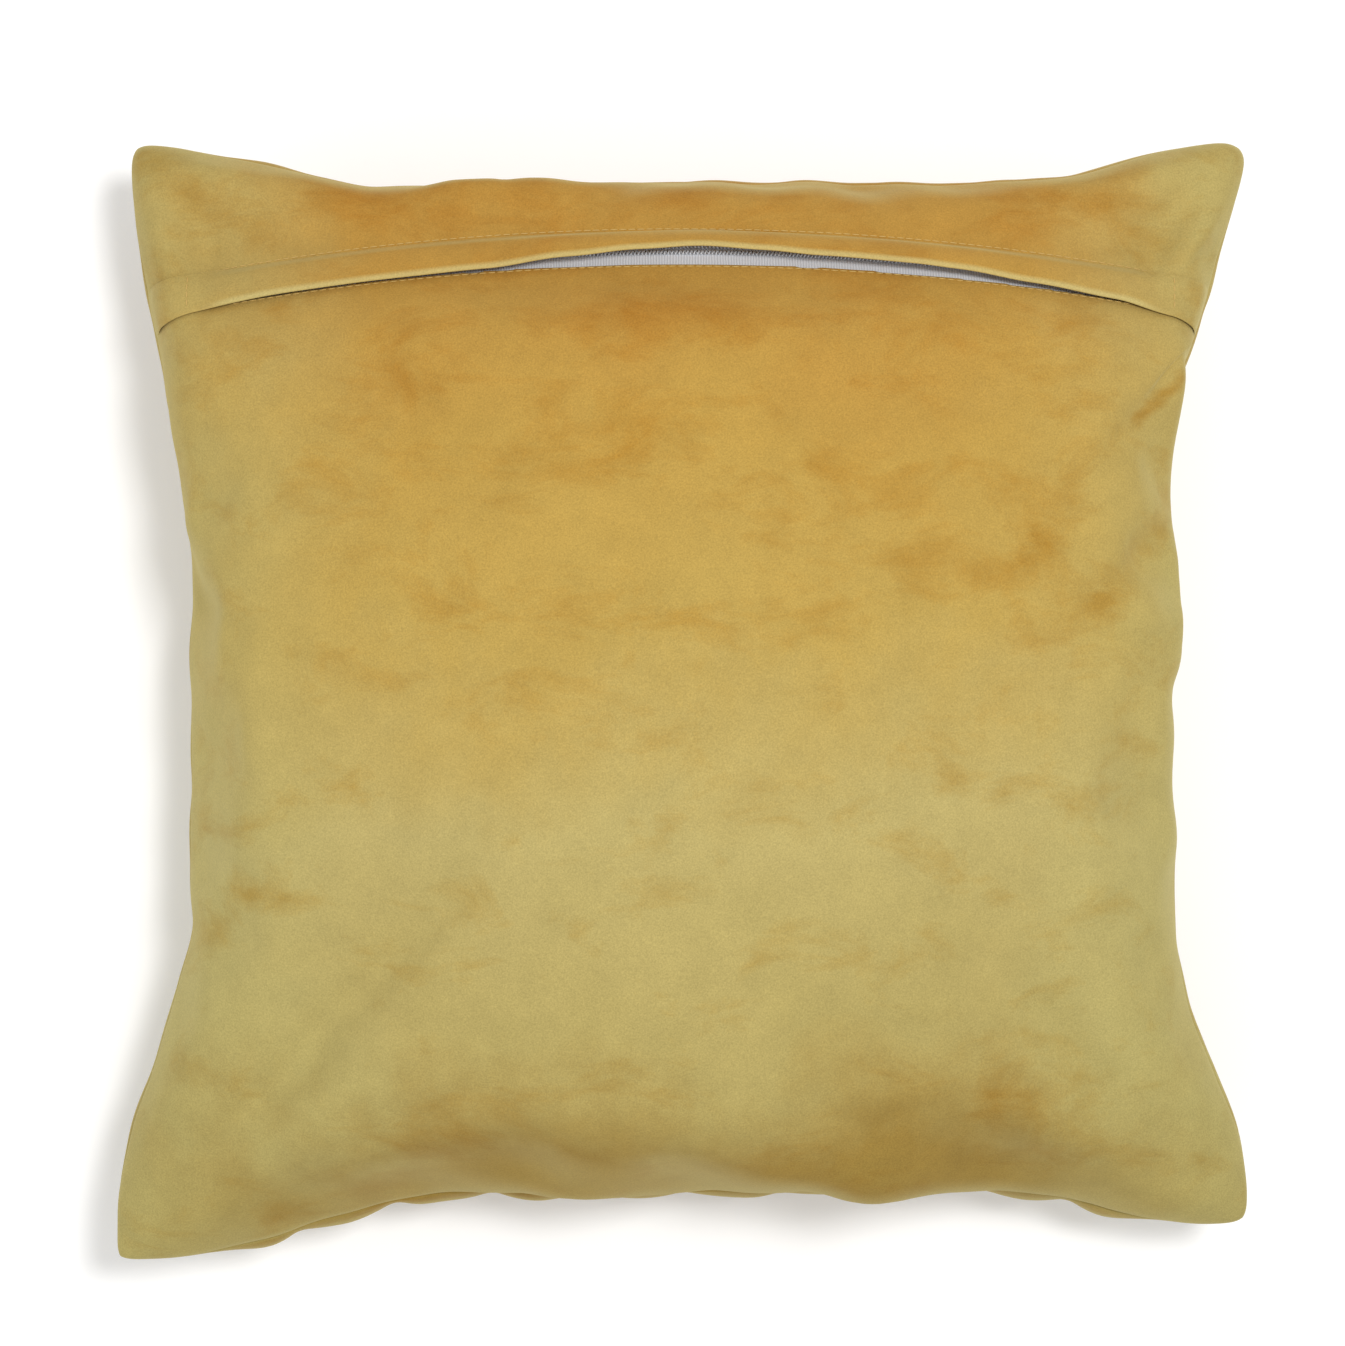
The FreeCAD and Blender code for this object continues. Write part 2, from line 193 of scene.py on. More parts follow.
class PillowColours(bpy.types.PropertyGroup):
    """Colours of the cloth, thread and metal, as sRGB hex values."""

    # Gold down to Foot are the stops of a ramp down the pillow: painted sheen, paler lower down, and painted
    # shade, darker at the foot
    gold: hex_colour("Gold", "Velvet with its pile brushed up", "B0863C")
    honey: hex_colour("Honey", "Velvet below the zip", "B49145")
    amber: hex_colour("Amber", "Velvet in the middle of the back", "B3964D")
    straw: hex_colour("Straw", "Velvet with its pile lying down", "B2A164")
    reed: hex_colour("Reed", "Velvet below the straw", "AC9B5D")
    shade: hex_colour("Shade", "Velvet turned down at the foot", "967A39")
    foot: hex_colour("Foot", "Velvet along the lower seam", "9D833E")
    # Sides is the colour of painted sheen along the side seams
    side: hex_colour("Sides", "Velvet along the side seams", "AEA366")
    # Rim is the colour of painted sheen where the velvet is seen edge-on, and of the painted highlight along
    # the flap's fold
    rim: hex_colour("Rim", "Velvet seen along its pile", "C4B679")
    # Marks also tints the painted shade along the creases and along the front's edge at the seam
    mark: hex_colour("Marks", "Tint of the pressed marks in the pile", "ECD29C")
    sheen: hex_colour("Sheen", "Tint of the light that the pile's tips scatter", "E8E0B0")
    stitch: hex_colour("Stitching", "Sewing thread", "D2B065")
    tape: hex_colour("Zip tape", "Woven polyester tape", "E4E7EC")
    metal: hex_colour("Metal", "Nickel finish of the slider and its tab", "C9C4B8")
    ticking: hex_colour("Ticking", "Insert case", "EDEBE6")
    filling: hex_colour("Filling", "Polyester fibre", "F4F3F0")
    paper: hex_colour("Paper", "Backdrop paper", "F6F6F6")


class PillowStage(bpy.types.PropertyGroup):
    """Camera, floor and lights."""

    distance: bpy.props.FloatProperty(
        name="Distance", description="Camera above the seam", default=1.245, unit="LENGTH"
    )
    lens: bpy.props.FloatProperty(name="Lens", description="Focal length in millimetres", default=85.0)
    key: bpy.props.FloatProperty(name="Key light", description="Strength of the key light", default=16.0)
    soft: bpy.props.FloatProperty(
        name="Fill light", description="Strength of the light from the left", default=4.5
    )
    sky: bpy.props.FloatProperty(name="Sky", description="Strength of the even light", default=0.61)


def linear(text):
    """The linear colour of an sRGB hex value."""
    parts = [int(text[i:i + 2], 16) / 255 for i in (0, 2, 4)]
    return [c / 12.92 if c <= 0.04045 else ((c + 0.055) / 1.055) ** 2.4 for c in parts] + [1.0]


def add_node(tree, kind, links=(), **settings):
    """Adds a shader node, sets its values by name and links (input, from node, output)."""
    node = tree.nodes.new(kind)
    for name, value in settings.items():
        if name in node.bl_rna.properties:
            setattr(node, name, value)
        else:
            node.inputs[name.replace("_", " ")].default_value = value
    for socket, source, output in links:
        tree.links.new(source.outputs[output], node.inputs[socket])
    return node


def smooth(value):
    """Smooth step from 0 to 1."""
    t = min(max(value, 0.0), 1.0)
    return t * t * (3 - 2 * t)


def fade(distance, length):
    """Weight that is 1 up to nothing past the edge and falls smoothly to 0 at `length` past it."""
    return 1 - smooth(distance / length)


def along_table(table, x):
    """Value at a place in a table of (millimetres, value), eased between its entries."""
    place = x / MM
    if place <= table[0][0]:
        return table[0][1]
    for (x0, v0), (x1, v1) in zip(table, table[1:]):
        if place <= x1:
            return v0 + (v1 - v0) * smooth((place - x0) / (x1 - x0))
    return table[-1][1]


def out_at(x):
    """Direction away from the zip's axis at a place along it."""
    s = x / ZIP_RADIUS
    return Vector((s, 0, 0)) + OUT * math.sqrt(1 - s * s)


def zip_point(x, across, level):
    """Point beside the zip's arc: `across` down the pillow from the flap's root, `level` above the panel."""
    return ZIP_CENTRE + ACROSS * across + out_at(x) * (ZIP_RADIUS + level)


def swell_above_zip(point):
    """How far the cloth stands up at the flap's stitching and between it and the top of the pillow."""
    across = (point - ZIP_CENTRE).dot(ACROSS)
    rise = ROOT_SWELL * fade(across, SWELL_BELOW) + TOP_SWELL * smooth(-across / SWELL_ABOVE)
    rise *= fade(-across - SWELL_TO, SWELL_FADE) * fade(abs(point.x) - SWELL_HALF_LENGTH, SWELL_END_FADE)
    return rise * MM * (point.z > SEAM_Z and point.y > 0)


def settled_on_zip(point, inset):
    """The point drawn onto the zip's arc where it lies in the band that the zip holds."""
    rel = point - ZIP_CENTRE
    across = rel.dot(ACROSS)
    radial = rel - ACROSS * across
    weight = fade(-across - BAND_ABOVE, ABOVE_FADE)
    weight *= fade(across - BAND_BELOW, BELOW_FADE)
    weight *= fade(abs(point.x) - ZIP_HALF_LENGTH - BAND_PAST_END, END_FADE)
    weight *= 1 - fade(point.z - SEAM_Z, SEAM_FADE)
    if point.y < 0:
        weight = 0.0
    move = (ZIP_RADIUS - inset - radial.length) * weight
    return point + radial.normalized() * move


# Sides of the filled cover seen from above, in millimetres: start corner, end corner, direction inwards, and
# for each end how far the side pulls in, how long the corner stays full and how soon the pull is complete
CORNERS = {"bl": (-222.5, -220.5), "br": (223.5, -206.0), "tr": (223.0, 220.0), "tl": (-216.5, 219.5)}
SIDES = {
    "bottom": ("bl", "br", (0, 1), (22.0, 0.12, 0.45), (17.5, 0.10, 0.35)),
    "right": ("br", "tr", (-1, 0), (29.5, 0.09, 0.43), (31.0, 0.03, 0.50)),
    "top": ("tl", "tr", (0, -1), (17.0, 0.03, 0.40), (16.5, 0.06, 0.35)),
    "left": ("bl", "tl", (1, 0), (28.5, 0.11, 0.50), (25.5, 0.08, 0.62)),
}
CORNER_ROUND = {"bl": 6.0, "br": 9.0, "tr": 12.0, "tl": 9.0}
# A rounded corner's middle stands this share of its radius in from both sides
CORNER_CUT = 0.29
RIPPLE = 1.6

# How far the front's puffs stand past the seam on each side, in millimetres
PUFFS_PAST = {"bottom": 5.2, "top": 1.4, "left": 0.6, "right": 1.2}
# How near the seam a vertex is drawn to the outline, and how the front's edge rolls under
OUTLINE_BAND = 40 * MM
BACK_INSIDE = 1.0 * MM
PUFF_ROLL = 26 * MM
RIM_BAND, RIM_FADE = 14 * MM, 24 * MM
# Past this share of the flat half size a vertex lies on the seam
ON_SEAM = 0.9999


def side_point(side, share):
    """Point of the cover's outline a share of the way along one side."""
    start, end, inward, first, second = SIDES[side]
    middle = 2 * share - 1
    depth, full, reach = first if middle < 0 else second
    t = min(max((1 - abs(middle) - full) / reach, 0.0), 1.0)
    centre = (first[0] + second[0]) / 2
    depth = centre + (depth - centre) * smooth(abs(middle) * 2.5)
    pull = depth * (t + smooth(t)) / 2
    pull += RIPPLE * noise.noise(Vector((share * 20, len(side) * 7.0, 0.5))) * (1 - middle ** 8)
    a, b = Vector(CORNERS[start]), Vector(CORNERS[end])
    # The corner itself is turned on a small radius
    radius = CORNER_ROUND[start if middle < 0 else end]
    near = 1 - min(1.0, (1 - abs(middle)) / 2 * (b - a).length / radius)
    cut = CORNER_CUT * radius
    along = (b - a).normalized() * (cut * near * (1 if middle < 0 else -1))
    place = a.lerp(b, share) + Vector(inward) * (pull + cut * near * near) + along
    return place * MM


def past_outline(side, place):
    """How far a place lies outside one side of the outline."""
    start, end, inward = SIDES[side][:3]
    a, b = Vector(CORNERS[start]) * MM, Vector(CORNERS[end]) * MM
    share = (place.xy - a).dot(b - a) / (b - a).length_squared
    return (side_point(side, min(max(share, 0.0), 1.0)) - place.xy).dot(Vector(inward))


def kept_to_outline(cover, place, u, v, side):
    """The place drawn to the seam's outline: the back stays inside it and the front's puffs stand past it."""
    for name, room in (("bottom", 1 + v), ("top", 1 - v), ("left", 1 + u), ("right", 1 - u)):
        room *= cover.flat_half
        if room > OUTLINE_BAND:
            continue
        past = past_outline(name, place)
        across = v if name in ("left", "right") else u
        if side > 0:
            want = -min(BACK_INSIDE, 0.1 * room)
            move = min(0.0, want - past)
        else:
            size = PUFFS_PAST[name] * MM * smooth((1 - abs(across)) * 3)
            waves = abs(math.sin(math.pi * across * cover.flat_half / cover.puff_w)) ** 0.6
            want = size * waves * math.sin(math.pi * min(1.0, room / PUFF_ROLL))
            move = (want - past) * fade(room - RIM_BAND, RIM_FADE)
            # Nothing fills the corners, so the front tapers there by itself
            if move > 0:
                move *= smooth((1 - abs(across)) * 3.5)
        place = place - Vector(SIDES[name][2]).to_3d() * move
    return place


def flat_envelope(cover):
    """Two square sheets joined round their edge, a little apart in the middle."""
    bm = bmesh.new()
    half = cover.flat_half
    for side in (1, -1):
        grid = bmesh.ops.create_grid(bm, x_segments=cover.cells, y_segments=cover.cells, size=half)
        for vert in grid["verts"]:
            u, v = vert.co.x / half, vert.co.y / half
            edge = max(0.0, (1 - u * u) * (1 - v * v))
            bump = noise.noise(Vector((u * 7, v * 7, side * 3.0)))
            vert.co.z = side * (8 * MM * math.sqrt(edge) + 1.5 * MM * bump * min(1.0, edge * 9))
    bmesh.ops.remove_doubles(bm, verts=bm.verts, dist=1e-6)
    bmesh.ops.recalc_face_normals(bm, faces=bm.faces)
    mesh = bpy.data.meshes.new("envelope")
    bm.to_mesh(mesh)
    bm.free()
    return mesh


def inflate(mesh, cover):
    """Fills the envelope with cloth simulation and returns where its vertices end up."""
    envelope = bpy.data.objects.new("envelope", mesh)
    bpy.context.scene.collection.objects.link(envelope)
    modifier = envelope.modifiers.new("Cloth", "CLOTH")
    cloth = modifier.settings
    cloth.quality = 6
    cloth.mass = 0.3
    cloth.air_damping = 1.0
    cloth.tension_stiffness = cover.stiffness
    cloth.compression_stiffness = cover.stiffness
    cloth.shear_stiffness = cover.stiffness
    cloth.bending_stiffness = cover.bending
    cloth.tension_damping = 15
    cloth.compression_damping = 15
    cloth.shear_damping = 10
    cloth.bending_damping = 1
    cloth.use_pressure = True
    cloth.uniform_pressure_force = cover.pressure
    cloth.effector_weights.gravity = 0
    modifier.collision_settings.use_collision = False
    modifier.point_cache.frame_start = 1
    modifier.point_cache.frame_end = cover.steps
    for step in range(1, cover.steps + 1):
        bpy.context.scene.frame_set(step)
    graph = bpy.context.evaluated_depsgraph_get()
    places = [v.co.copy() for v in envelope.evaluated_get(graph).data.vertices]
    bpy.context.scene.frame_set(1)
    bpy.data.objects.remove(envelope)
    return places


def cloth_cell(vert, half):
    """Place of a vertex of the flat envelope on the cloth, from -1 to 1, and its side."""
    u, v = vert.co.x / half, vert.co.y / half
    edge = max(abs(u), abs(v)) > ON_SEAM
    return u, v, 0 if edge else (1 if vert.co.z > 0 else -1)


def puff(cover, u, v):
    """Height of the front's pinched puffs, from 0 along the tucks to 1 in the middle of each puff."""
    p = u * cover.flat_half / cover.puff_w
    q = (v + 1) * cover.flat_half / cover.puff_h
    return abs(math.sin(math.pi * (p + q)) * math.sin(math.pi * (p - q))) ** 0.55


# Soft creases in the back, in millimetres: start, end, depth, width, and how far the cloth on the left of
# that direction stands up beside the crease
CREASES = (
    ((180, 112), (202, 132), 5.5, 3.8, 2.6), ((160, 92), (180, 112), 3.0, 6.0, 2.5),
    ((186, 66), (158, 38), 3.0, 7.0, 1.0),
    ((190, 8), (164, 4), 1.5, 8.0, 0.5), ((190, -36), (162, -42), 1.5, 9.0, 0.5),
    ((200, 196), (168, 176), 3.0, 8.0, 2.0), ((214, 176), (192, 166), 2.5, 6.0, 1.5),
    ((-208, 196), (-178, 182), 2.0, 10.0, 1.0), ((-150, 196), (-120, 186), 1.6, 9.0, 0.5),
    ((-196, -186), (-150, -170), 2.0, 12.0, 1.0), ((-110, -182), (-60, -166), 2.0, 15.0, 1.0),
    ((120, -176), (190, -186), 2.5, 13.0, 1.0), ((-190, 40), (-164, 32), 1.4, 8.0, 0.4),
    ((-192, -20), (-162, -26), 1.4, 8.0, 0.4), ((-192, -62), (-156, -70), 1.4, 9.0, 0.4),
)
# Pressed pile, and painted shade along the creases, in millimetres: start, end, width and strength
PRESSED_AND_SHADE = (
    # The first stroke is the painted dark line of the crease at the right side
    ((172, 106), (201, 131), 2.6, 2.2),
    ((118, 46), (146, 72), 11, 1.0), ((160, 40), (186, 76), 9, 0.9), ((66, 34), (90, 44), 12, 0.5),
    ((-166, 130), (-154, 142), 9, 0.8), ((-146, 84), (-126, 96), 12, 0.5), ((-112, 118), (-84, 126), 14, 0.4),
    ((-138, 196), (-90, 186), 12, 0.7), ((-60, 192), (0, 190), 9, 0.7), ((124, 180), (172, 200), 9, 0.8),
    ((-100, -166), (-62, -150), 12, 0.9), ((120, -156), (190, -176), 14, 0.6),
    ((-182, -50), (-164, -48), 5, 0.8), ((-166, -72), (-140, -78), 6, 0.7),
    ((-186, -88), (-168, -84), 6, 0.6), ((98, -30), (118, -32), 5, 0.7),
    ((152, -34), (176, -38), 7, 0.5), ((-50, 30), (30, 32), 6, 0.3), ((-204, 206), (-190, 196), 9, 0.8),
    ((-20, 146), (20, 142), 14, 0.5), ((60, 84), (84, 70), 14, 0.4), ((-60, 96), (-30, 84), 16, 0.4),
    ((80, 140), (110, 128), 14, 0.4), ((-160, -200), (-120, -188), 8, 0.5), ((40, -182), (90, -178), 10, 0.5),
)


def pressed_and_shade_at(place):
    """How strongly the pile is pressed over at a place, with the painted shade along the creases."""
    total = 0.0
    for start, end, width, strength in PRESSED_AND_SHADE:
        a, b = Vector(start) * MM, Vector(end) * MM
        along = b - a
        here = place.xy - a
        t = min(max(here.dot(along) / along.length_squared, 0.0), 1.0)
        away = (here - along * t).length / (width * MM)
        total = max(total, strength * math.exp(-away * away))
    return total


def crease_depth(place, start, end, depth, width, roll):
    """Depth of one crease at a place: deepest along its line, running out past it, with a roll beside it."""
    a, b = Vector(start) * MM, Vector(end) * MM
    along = b - a
    here = place.xy - a
    t = min(max(here.dot(along) / along.length_squared, 0.0), 1.0)
    away = (here - along * t).length / (width * MM)
    beside = (along.x * here.y - along.y * here.x) / along.length / (width * MM)
    size = 0.35 + 0.65 * math.sin(math.pi * t) ** 0.5
    past = max(0.0, away * away - beside * beside)
    rolled = roll * math.exp(-((beside - 1.9) / 1.2) ** 2 - past)
    return (depth * math.exp(-away * away) - rolled) * size * MM


SKIN = {}


def seam_moves(cells, places):
    """How far each vertex of the seam moves in plan so that the seam lies on the outline."""
    corner = {}
    for (u, v, _), place in zip(cells, places):
        if abs(u) > ON_SEAM and abs(v) > ON_SEAM:
            corner[("t" if v > 0 else "b") + ("r" if u > 0 else "l")] = place
    moves = {}
    for (u, v, side), place in zip(cells, places):
        if side:
            continue
        if abs(v) > ON_SEAM:
            start, end = ("tl", "tr") if v > 0 else ("bl", "br")
            share = (place.x - corner[start].x) / (corner[end].x - corner[start].x)
            target = side_point("top" if v > 0 else "bottom", share)
            moves["x", v > 0, round(u, 4)] = Vector((target.x - place.x, target.y - place.y, 0))
        if abs(u) > ON_SEAM:
            start, end = ("br", "tr") if u > 0 else ("bl", "tl")
            share = (place.y - corner[start].y) / (corner[end].y - corner[start].y)
            target = side_point("right" if u > 0 else "left", share)
            moves["y", u > 0, round(v, 4)] = Vector((target.x - place.x, target.y - place.y, 0))
    return moves


def fitted(cover, cells, places):
    """The inflated places, moved so that the seam lies on the outline and both faces have their height."""
    middle = sum(places, Vector()) / len(places)
    places = [place - middle for place in places]
    moves = seam_moves(cells, places)
    top = max(place.z for place in places)
    bottom = min(place.z for place in places)
    moved = []
    for (u, v, _), place in zip(cells, places):
        # What the four sides do is carried across the cloth, less what the corners would count twice
        a, b = (1 + u) / 2, (1 + v) / 2
        ru, rv = round(u, 4), round(v, 4)
        move = moves["x", False, ru] * (1 - b) + moves["x", True, ru] * b
        move += moves["y", False, rv] * (1 - a) + moves["y", True, rv] * a
        move -= moves["x", False, -1.0] * (1 - a) * (1 - b) + moves["x", False, 1.0] * a * (1 - b)
        move -= moves["x", True, -1.0] * (1 - a) * b + moves["x", True, 1.0] * a * b
        scale = (BACK_CROWN / top if place.z > 0 else cover.front_crown / -bottom)
        moved.append(Vector((place.x + move.x, place.y + move.y, SEAM_Z + place.z * scale)))
    return moved


def refined(mesh, cells):
    """A finer copy of the mesh, as a bmesh whose vertices know their place on the cloth."""
    bm = bmesh.new()
    bm.from_mesh(mesh)
    cell_u = bm.verts.layers.float.new("cloth_u")
    cell_v = bm.verts.layers.float.new("cloth_v")
    cell_side = bm.verts.layers.float.new("cloth_side")
    bm.verts.ensure_lookup_table()
    for vert, (u, v, side) in zip(bm.verts, cells):
        vert[cell_u], vert[cell_v], vert[cell_side] = u, v, side
    bm.to_mesh(mesh)
    bm.free()
    coarse = bpy.data.objects.new("coarse_skin", mesh)
    bpy.context.scene.collection.objects.link(coarse)
    coarse.modifiers.new("Subdivision", "SUBSURF").levels = 1
    graph = bpy.context.evaluated_depsgraph_get()
    fine = bpy.data.meshes.new_from_object(
        coarse.evaluated_get(graph), preserve_all_data_layers=True, depsgraph=graph
    )
    bpy.data.objects.remove(coarse)
    bm = bmesh.new()
    bm.from_mesh(fine)
    bm.normal_update()
    return bm


# Shaping of the skin: where the cloth hangs smooth towards the lower seam, how near the seam the puffs
# and creases die out, where the front is pressed flat, and how strongly painted shade darkens the front along
# its edge
HANGS_FROM, HANG_PASSES = -0.72, 14
PUFF_FROM_RIM = 35 * MM
CREASE_FROM_RIM = 16 * MM
FLAT_BELOW = 8 * MM
EDGE_SHADE, EDGE_SHADE_W = 2.4, 10 * MM


def shape_skin(bm, cover):
    """Hangs, puffs, flattens and creases the skin, and settles it on the zip."""
    cell_u = bm.verts.layers.float["cloth_u"]
    cell_v = bm.verts.layers.float["cloth_v"]
    cell_side = bm.verts.layers.float["cloth_side"]
    pressed = bm.verts.layers.float.new("pressed")
    hanging = [vert for vert in bm.verts if vert[cell_side] > 0.5 and vert[cell_v] < HANGS_FROM]
    for _ in range(HANG_PASSES):
        bmesh.ops.smooth_vert(
            bm, verts=hanging, factor=0.5, use_axis_x=True, use_axis_y=True, use_axis_z=True
        )
    bm.normal_update()
    shaped = []
    for vert in bm.verts:
        u, v, side = vert[cell_u], vert[cell_v], vert[cell_side]
        place = vert.co.copy()
        rim = min(1 - abs(u), 1 - abs(v)) * cover.flat_half
        if side < 0:
            # Painted shade: the front is darkened along the seam, in the crevice under the back
            vert[pressed] = EDGE_SHADE * fade(rim, EDGE_SHADE_W)
            place += vert.normal * cover.puff_rise * puff(cover, u, v) * min(1.0, rim / PUFF_FROM_RIM)
        if place.z < FLAT_BELOW:
            place.z = FLAT_BELOW * math.exp((place.z - FLAT_BELOW) / FLAT_BELOW)
        if side:
            place = kept_to_outline(cover, place, u, v, side)
        if side > 0:
            for crease in CREASES:
                place -= vert.normal * crease_depth(place, *crease) * smooth(rim / CREASE_FROM_RIM)
            place = settled_on_zip(place, 0.0)
            place += out_at(place.x) * swell_above_zip(place)
            # Pressed marks in the pile, with painted shade along the creases
            vert[pressed] = pressed_and_shade_at(place)
        shaped.append(place)
    for vert, place in zip(bm.verts, shaped):
        vert.co = place
    bm.normal_update()


def pillow_skin():
    """The cover's closed outer skin: inflated cloth, fitted and shaped once and kept for every piece."""
    if SKIN:
        return SKIN
    cover = bpy.context.scene.pillow_cover
    mesh = flat_envelope(cover)
    cells = [cloth_cell(vert, cover.flat_half) for vert in mesh.vertices]
    places = inflate(mesh, cover)
    for vert, place in zip(mesh.vertices, fitted(cover, cells, places)):
        vert.co = place
    bm = refined(mesh, cells)
    shape_skin(bm, cover)
    SKIN["bm"] = bm
    SKIN["tree"] = BVHTree.FromBMesh(bm)
    return SKIN


def new_object(name, bm, material, levels=0, wall=0.0):
    """Makes a smooth-shaded object of a bmesh: an open sheet is given its wall inwards, then made finer."""
    for face in bm.faces:
        face.smooth = True
    mesh = bpy.data.meshes.new(name)
    bm.to_mesh(mesh)
    bm.free()
    mesh.materials.append(material)
    piece = bpy.data.objects.new(name, mesh)
    bpy.context.scene.collection.objects.link(piece)
    if wall:
        solid = piece.modifiers.new("Solidify", "SOLIDIFY")
        solid.thickness = wall
        solid.offset = -1
    if levels:
        subdivision = piece.modifiers.new("Subdivision", "SUBSURF")
        subdivision.levels = levels
        subdivision.render_levels = levels
    return piece


def new_material(name):
    """A material with an empty node tree, and that tree."""
    material = bpy.data.materials.new(name)
    material.use_nodes = True
    material.node_tree.nodes.clear()
    return material, material.node_tree


def velvet_base(tree, place, colours):
    """Base colour of the velvet with painted sheen and painted shade, and how far up the pillow it counts a
    place.
    """
    drift = add_node(
        tree, "ShaderNodeTexNoise", [("Vector", place, "Object")], Scale=11.0, Detail=6.0, Roughness=0.6
    )
    parts = add_node(tree, "ShaderNodeSeparateXYZ", [("Vector", place, "Object")])
    # Painted sheen and shade: the colour drifts from gold at the zip to pale straw lower down, and darkens to
    # olive at the foot, where the cloth turns down
    run = add_node(tree, "ShaderNodeMath", [(0, drift, "Fac"), (2, parts, "Y")], operation="MULTIPLY_ADD")
    run.inputs[1].default_value = 0.14
    share = add_node(
        tree, "ShaderNodeMapRange", [("Value", run, "Value")], From_Min=-0.15, From_Max=0.29,
        To_Min=0.0, To_Max=1.0,
    )
    ramp = add_node(tree, "ShaderNodeValToRGB", [("Fac", share, "Result")])
    stops = (
        (0.0, colours.foot), (0.10, colours.shade), (0.22, colours.reed), (0.38, colours.straw),
        (0.55, colours.amber), (0.72, colours.honey), (0.86, colours.gold),
    )
    while len(ramp.color_ramp.elements) < len(stops):
        ramp.color_ramp.elements.new(0.5)
    for element, (position, colour) in zip(ramp.color_ramp.elements, stops):
        element.position = position
        element.color = linear(colour)
    # Painted sheen: along the sides, where the cloth turns away, the colour is mixed towards a paler tone
    size = add_node(tree, "ShaderNodeMath", [(0, parts, "X")], operation="ABSOLUTE")
    spread = add_node(
        tree, "ShaderNodeMath", [(0, drift, "Fac"), (2, size, "Value")], operation="MULTIPLY_ADD"
    )
    spread.inputs[1].default_value = 0.15
    beside = add_node(
        tree, "ShaderNodeMapRange", [("Value", spread, "Value")], From_Min=0.185, From_Max=0.285,
        To_Min=0.0, To_Max=0.75,
    )
    side_sheen = add_node(
        tree, "ShaderNodeMix", [("Factor", beside, "Result"), (6, ramp, "Color")], data_type="RGBA"
    )
    side_sheen.inputs[7].default_value = linear(colours.side)
    return side_sheen, share


def velvet_marks_and_shade(tree, place, colours, base, share):
    """The base colour with the marks and the clouding that handling leaves in the pile, and painted shade
    along the creases and along the front's edge at the seam.
    """
    # Pressed marks, 4 to 30 mm long and drawn out across the pillow, more of them towards the zip
    stretch = add_node(tree, "ShaderNodeMapping", [("Vector", place, "Object")], Scale=(0.8, 1.5, 1.0))
    marks = add_node(
        tree, "ShaderNodeTexNoise", [("Vector", stretch, "Vector")], Scale=30.0, Detail=8.0, Roughness=0.66,
        Distortion=0.4,
    )
    # The pressed layer holds pressed marks, and painted shade along the creases and along the front's edge at
    # the seam
    pile_marks_and_shade = add_node(tree, "ShaderNodeAttribute", attribute_name="pressed")
    both = add_node(
        tree, "ShaderNodeMath", [(0, pile_marks_and_shade, "Fac"), (2, marks, "Fac")], operation="MULTIPLY_ADD"
    )
    both.inputs[1].default_value = 0.18
    higher = add_node(
        tree, "ShaderNodeMath", [(0, share, "Result"), (2, both, "Value")], operation="MULTIPLY_ADD"
    )
    higher.inputs[1].default_value = 0.08
    pressed = add_node(
        tree, "ShaderNodeMapRange", [("Value", higher, "Value")], From_Min=0.56, From_Max=0.84,
        To_Min=0.0, To_Max=0.8,
    )
    marked_and_shaded = add_node(
        tree, "ShaderNodeMix", [("Factor", pressed, "Result"), (6, base, 2)], data_type="RGBA",
        blend_type="MULTIPLY",
    )
    marked_and_shaded.inputs[7].default_value = linear(colours.mark)
    # Handled pile is clouded, about 15 mm at a time
    cloud = add_node(
        tree, "ShaderNodeTexNoise", [("Vector", place, "Object")], Scale=65.0, Detail=6.0, Roughness=0.7
    )
    clouding = add_node(
        tree, "ShaderNodeMapRange", [("Value", cloud, "Fac")], From_Min=0.25, From_Max=0.75,
        To_Min=0.92, To_Max=1.07,
    )
    clouded = add_node(
        tree, "ShaderNodeMix", [(6, marked_and_shaded, 2), (7, clouding, "Result")], data_type="RGBA",
        blend_type="MULTIPLY",
    )
    clouded.inputs["Factor"].default_value = 1.0
    return clouded


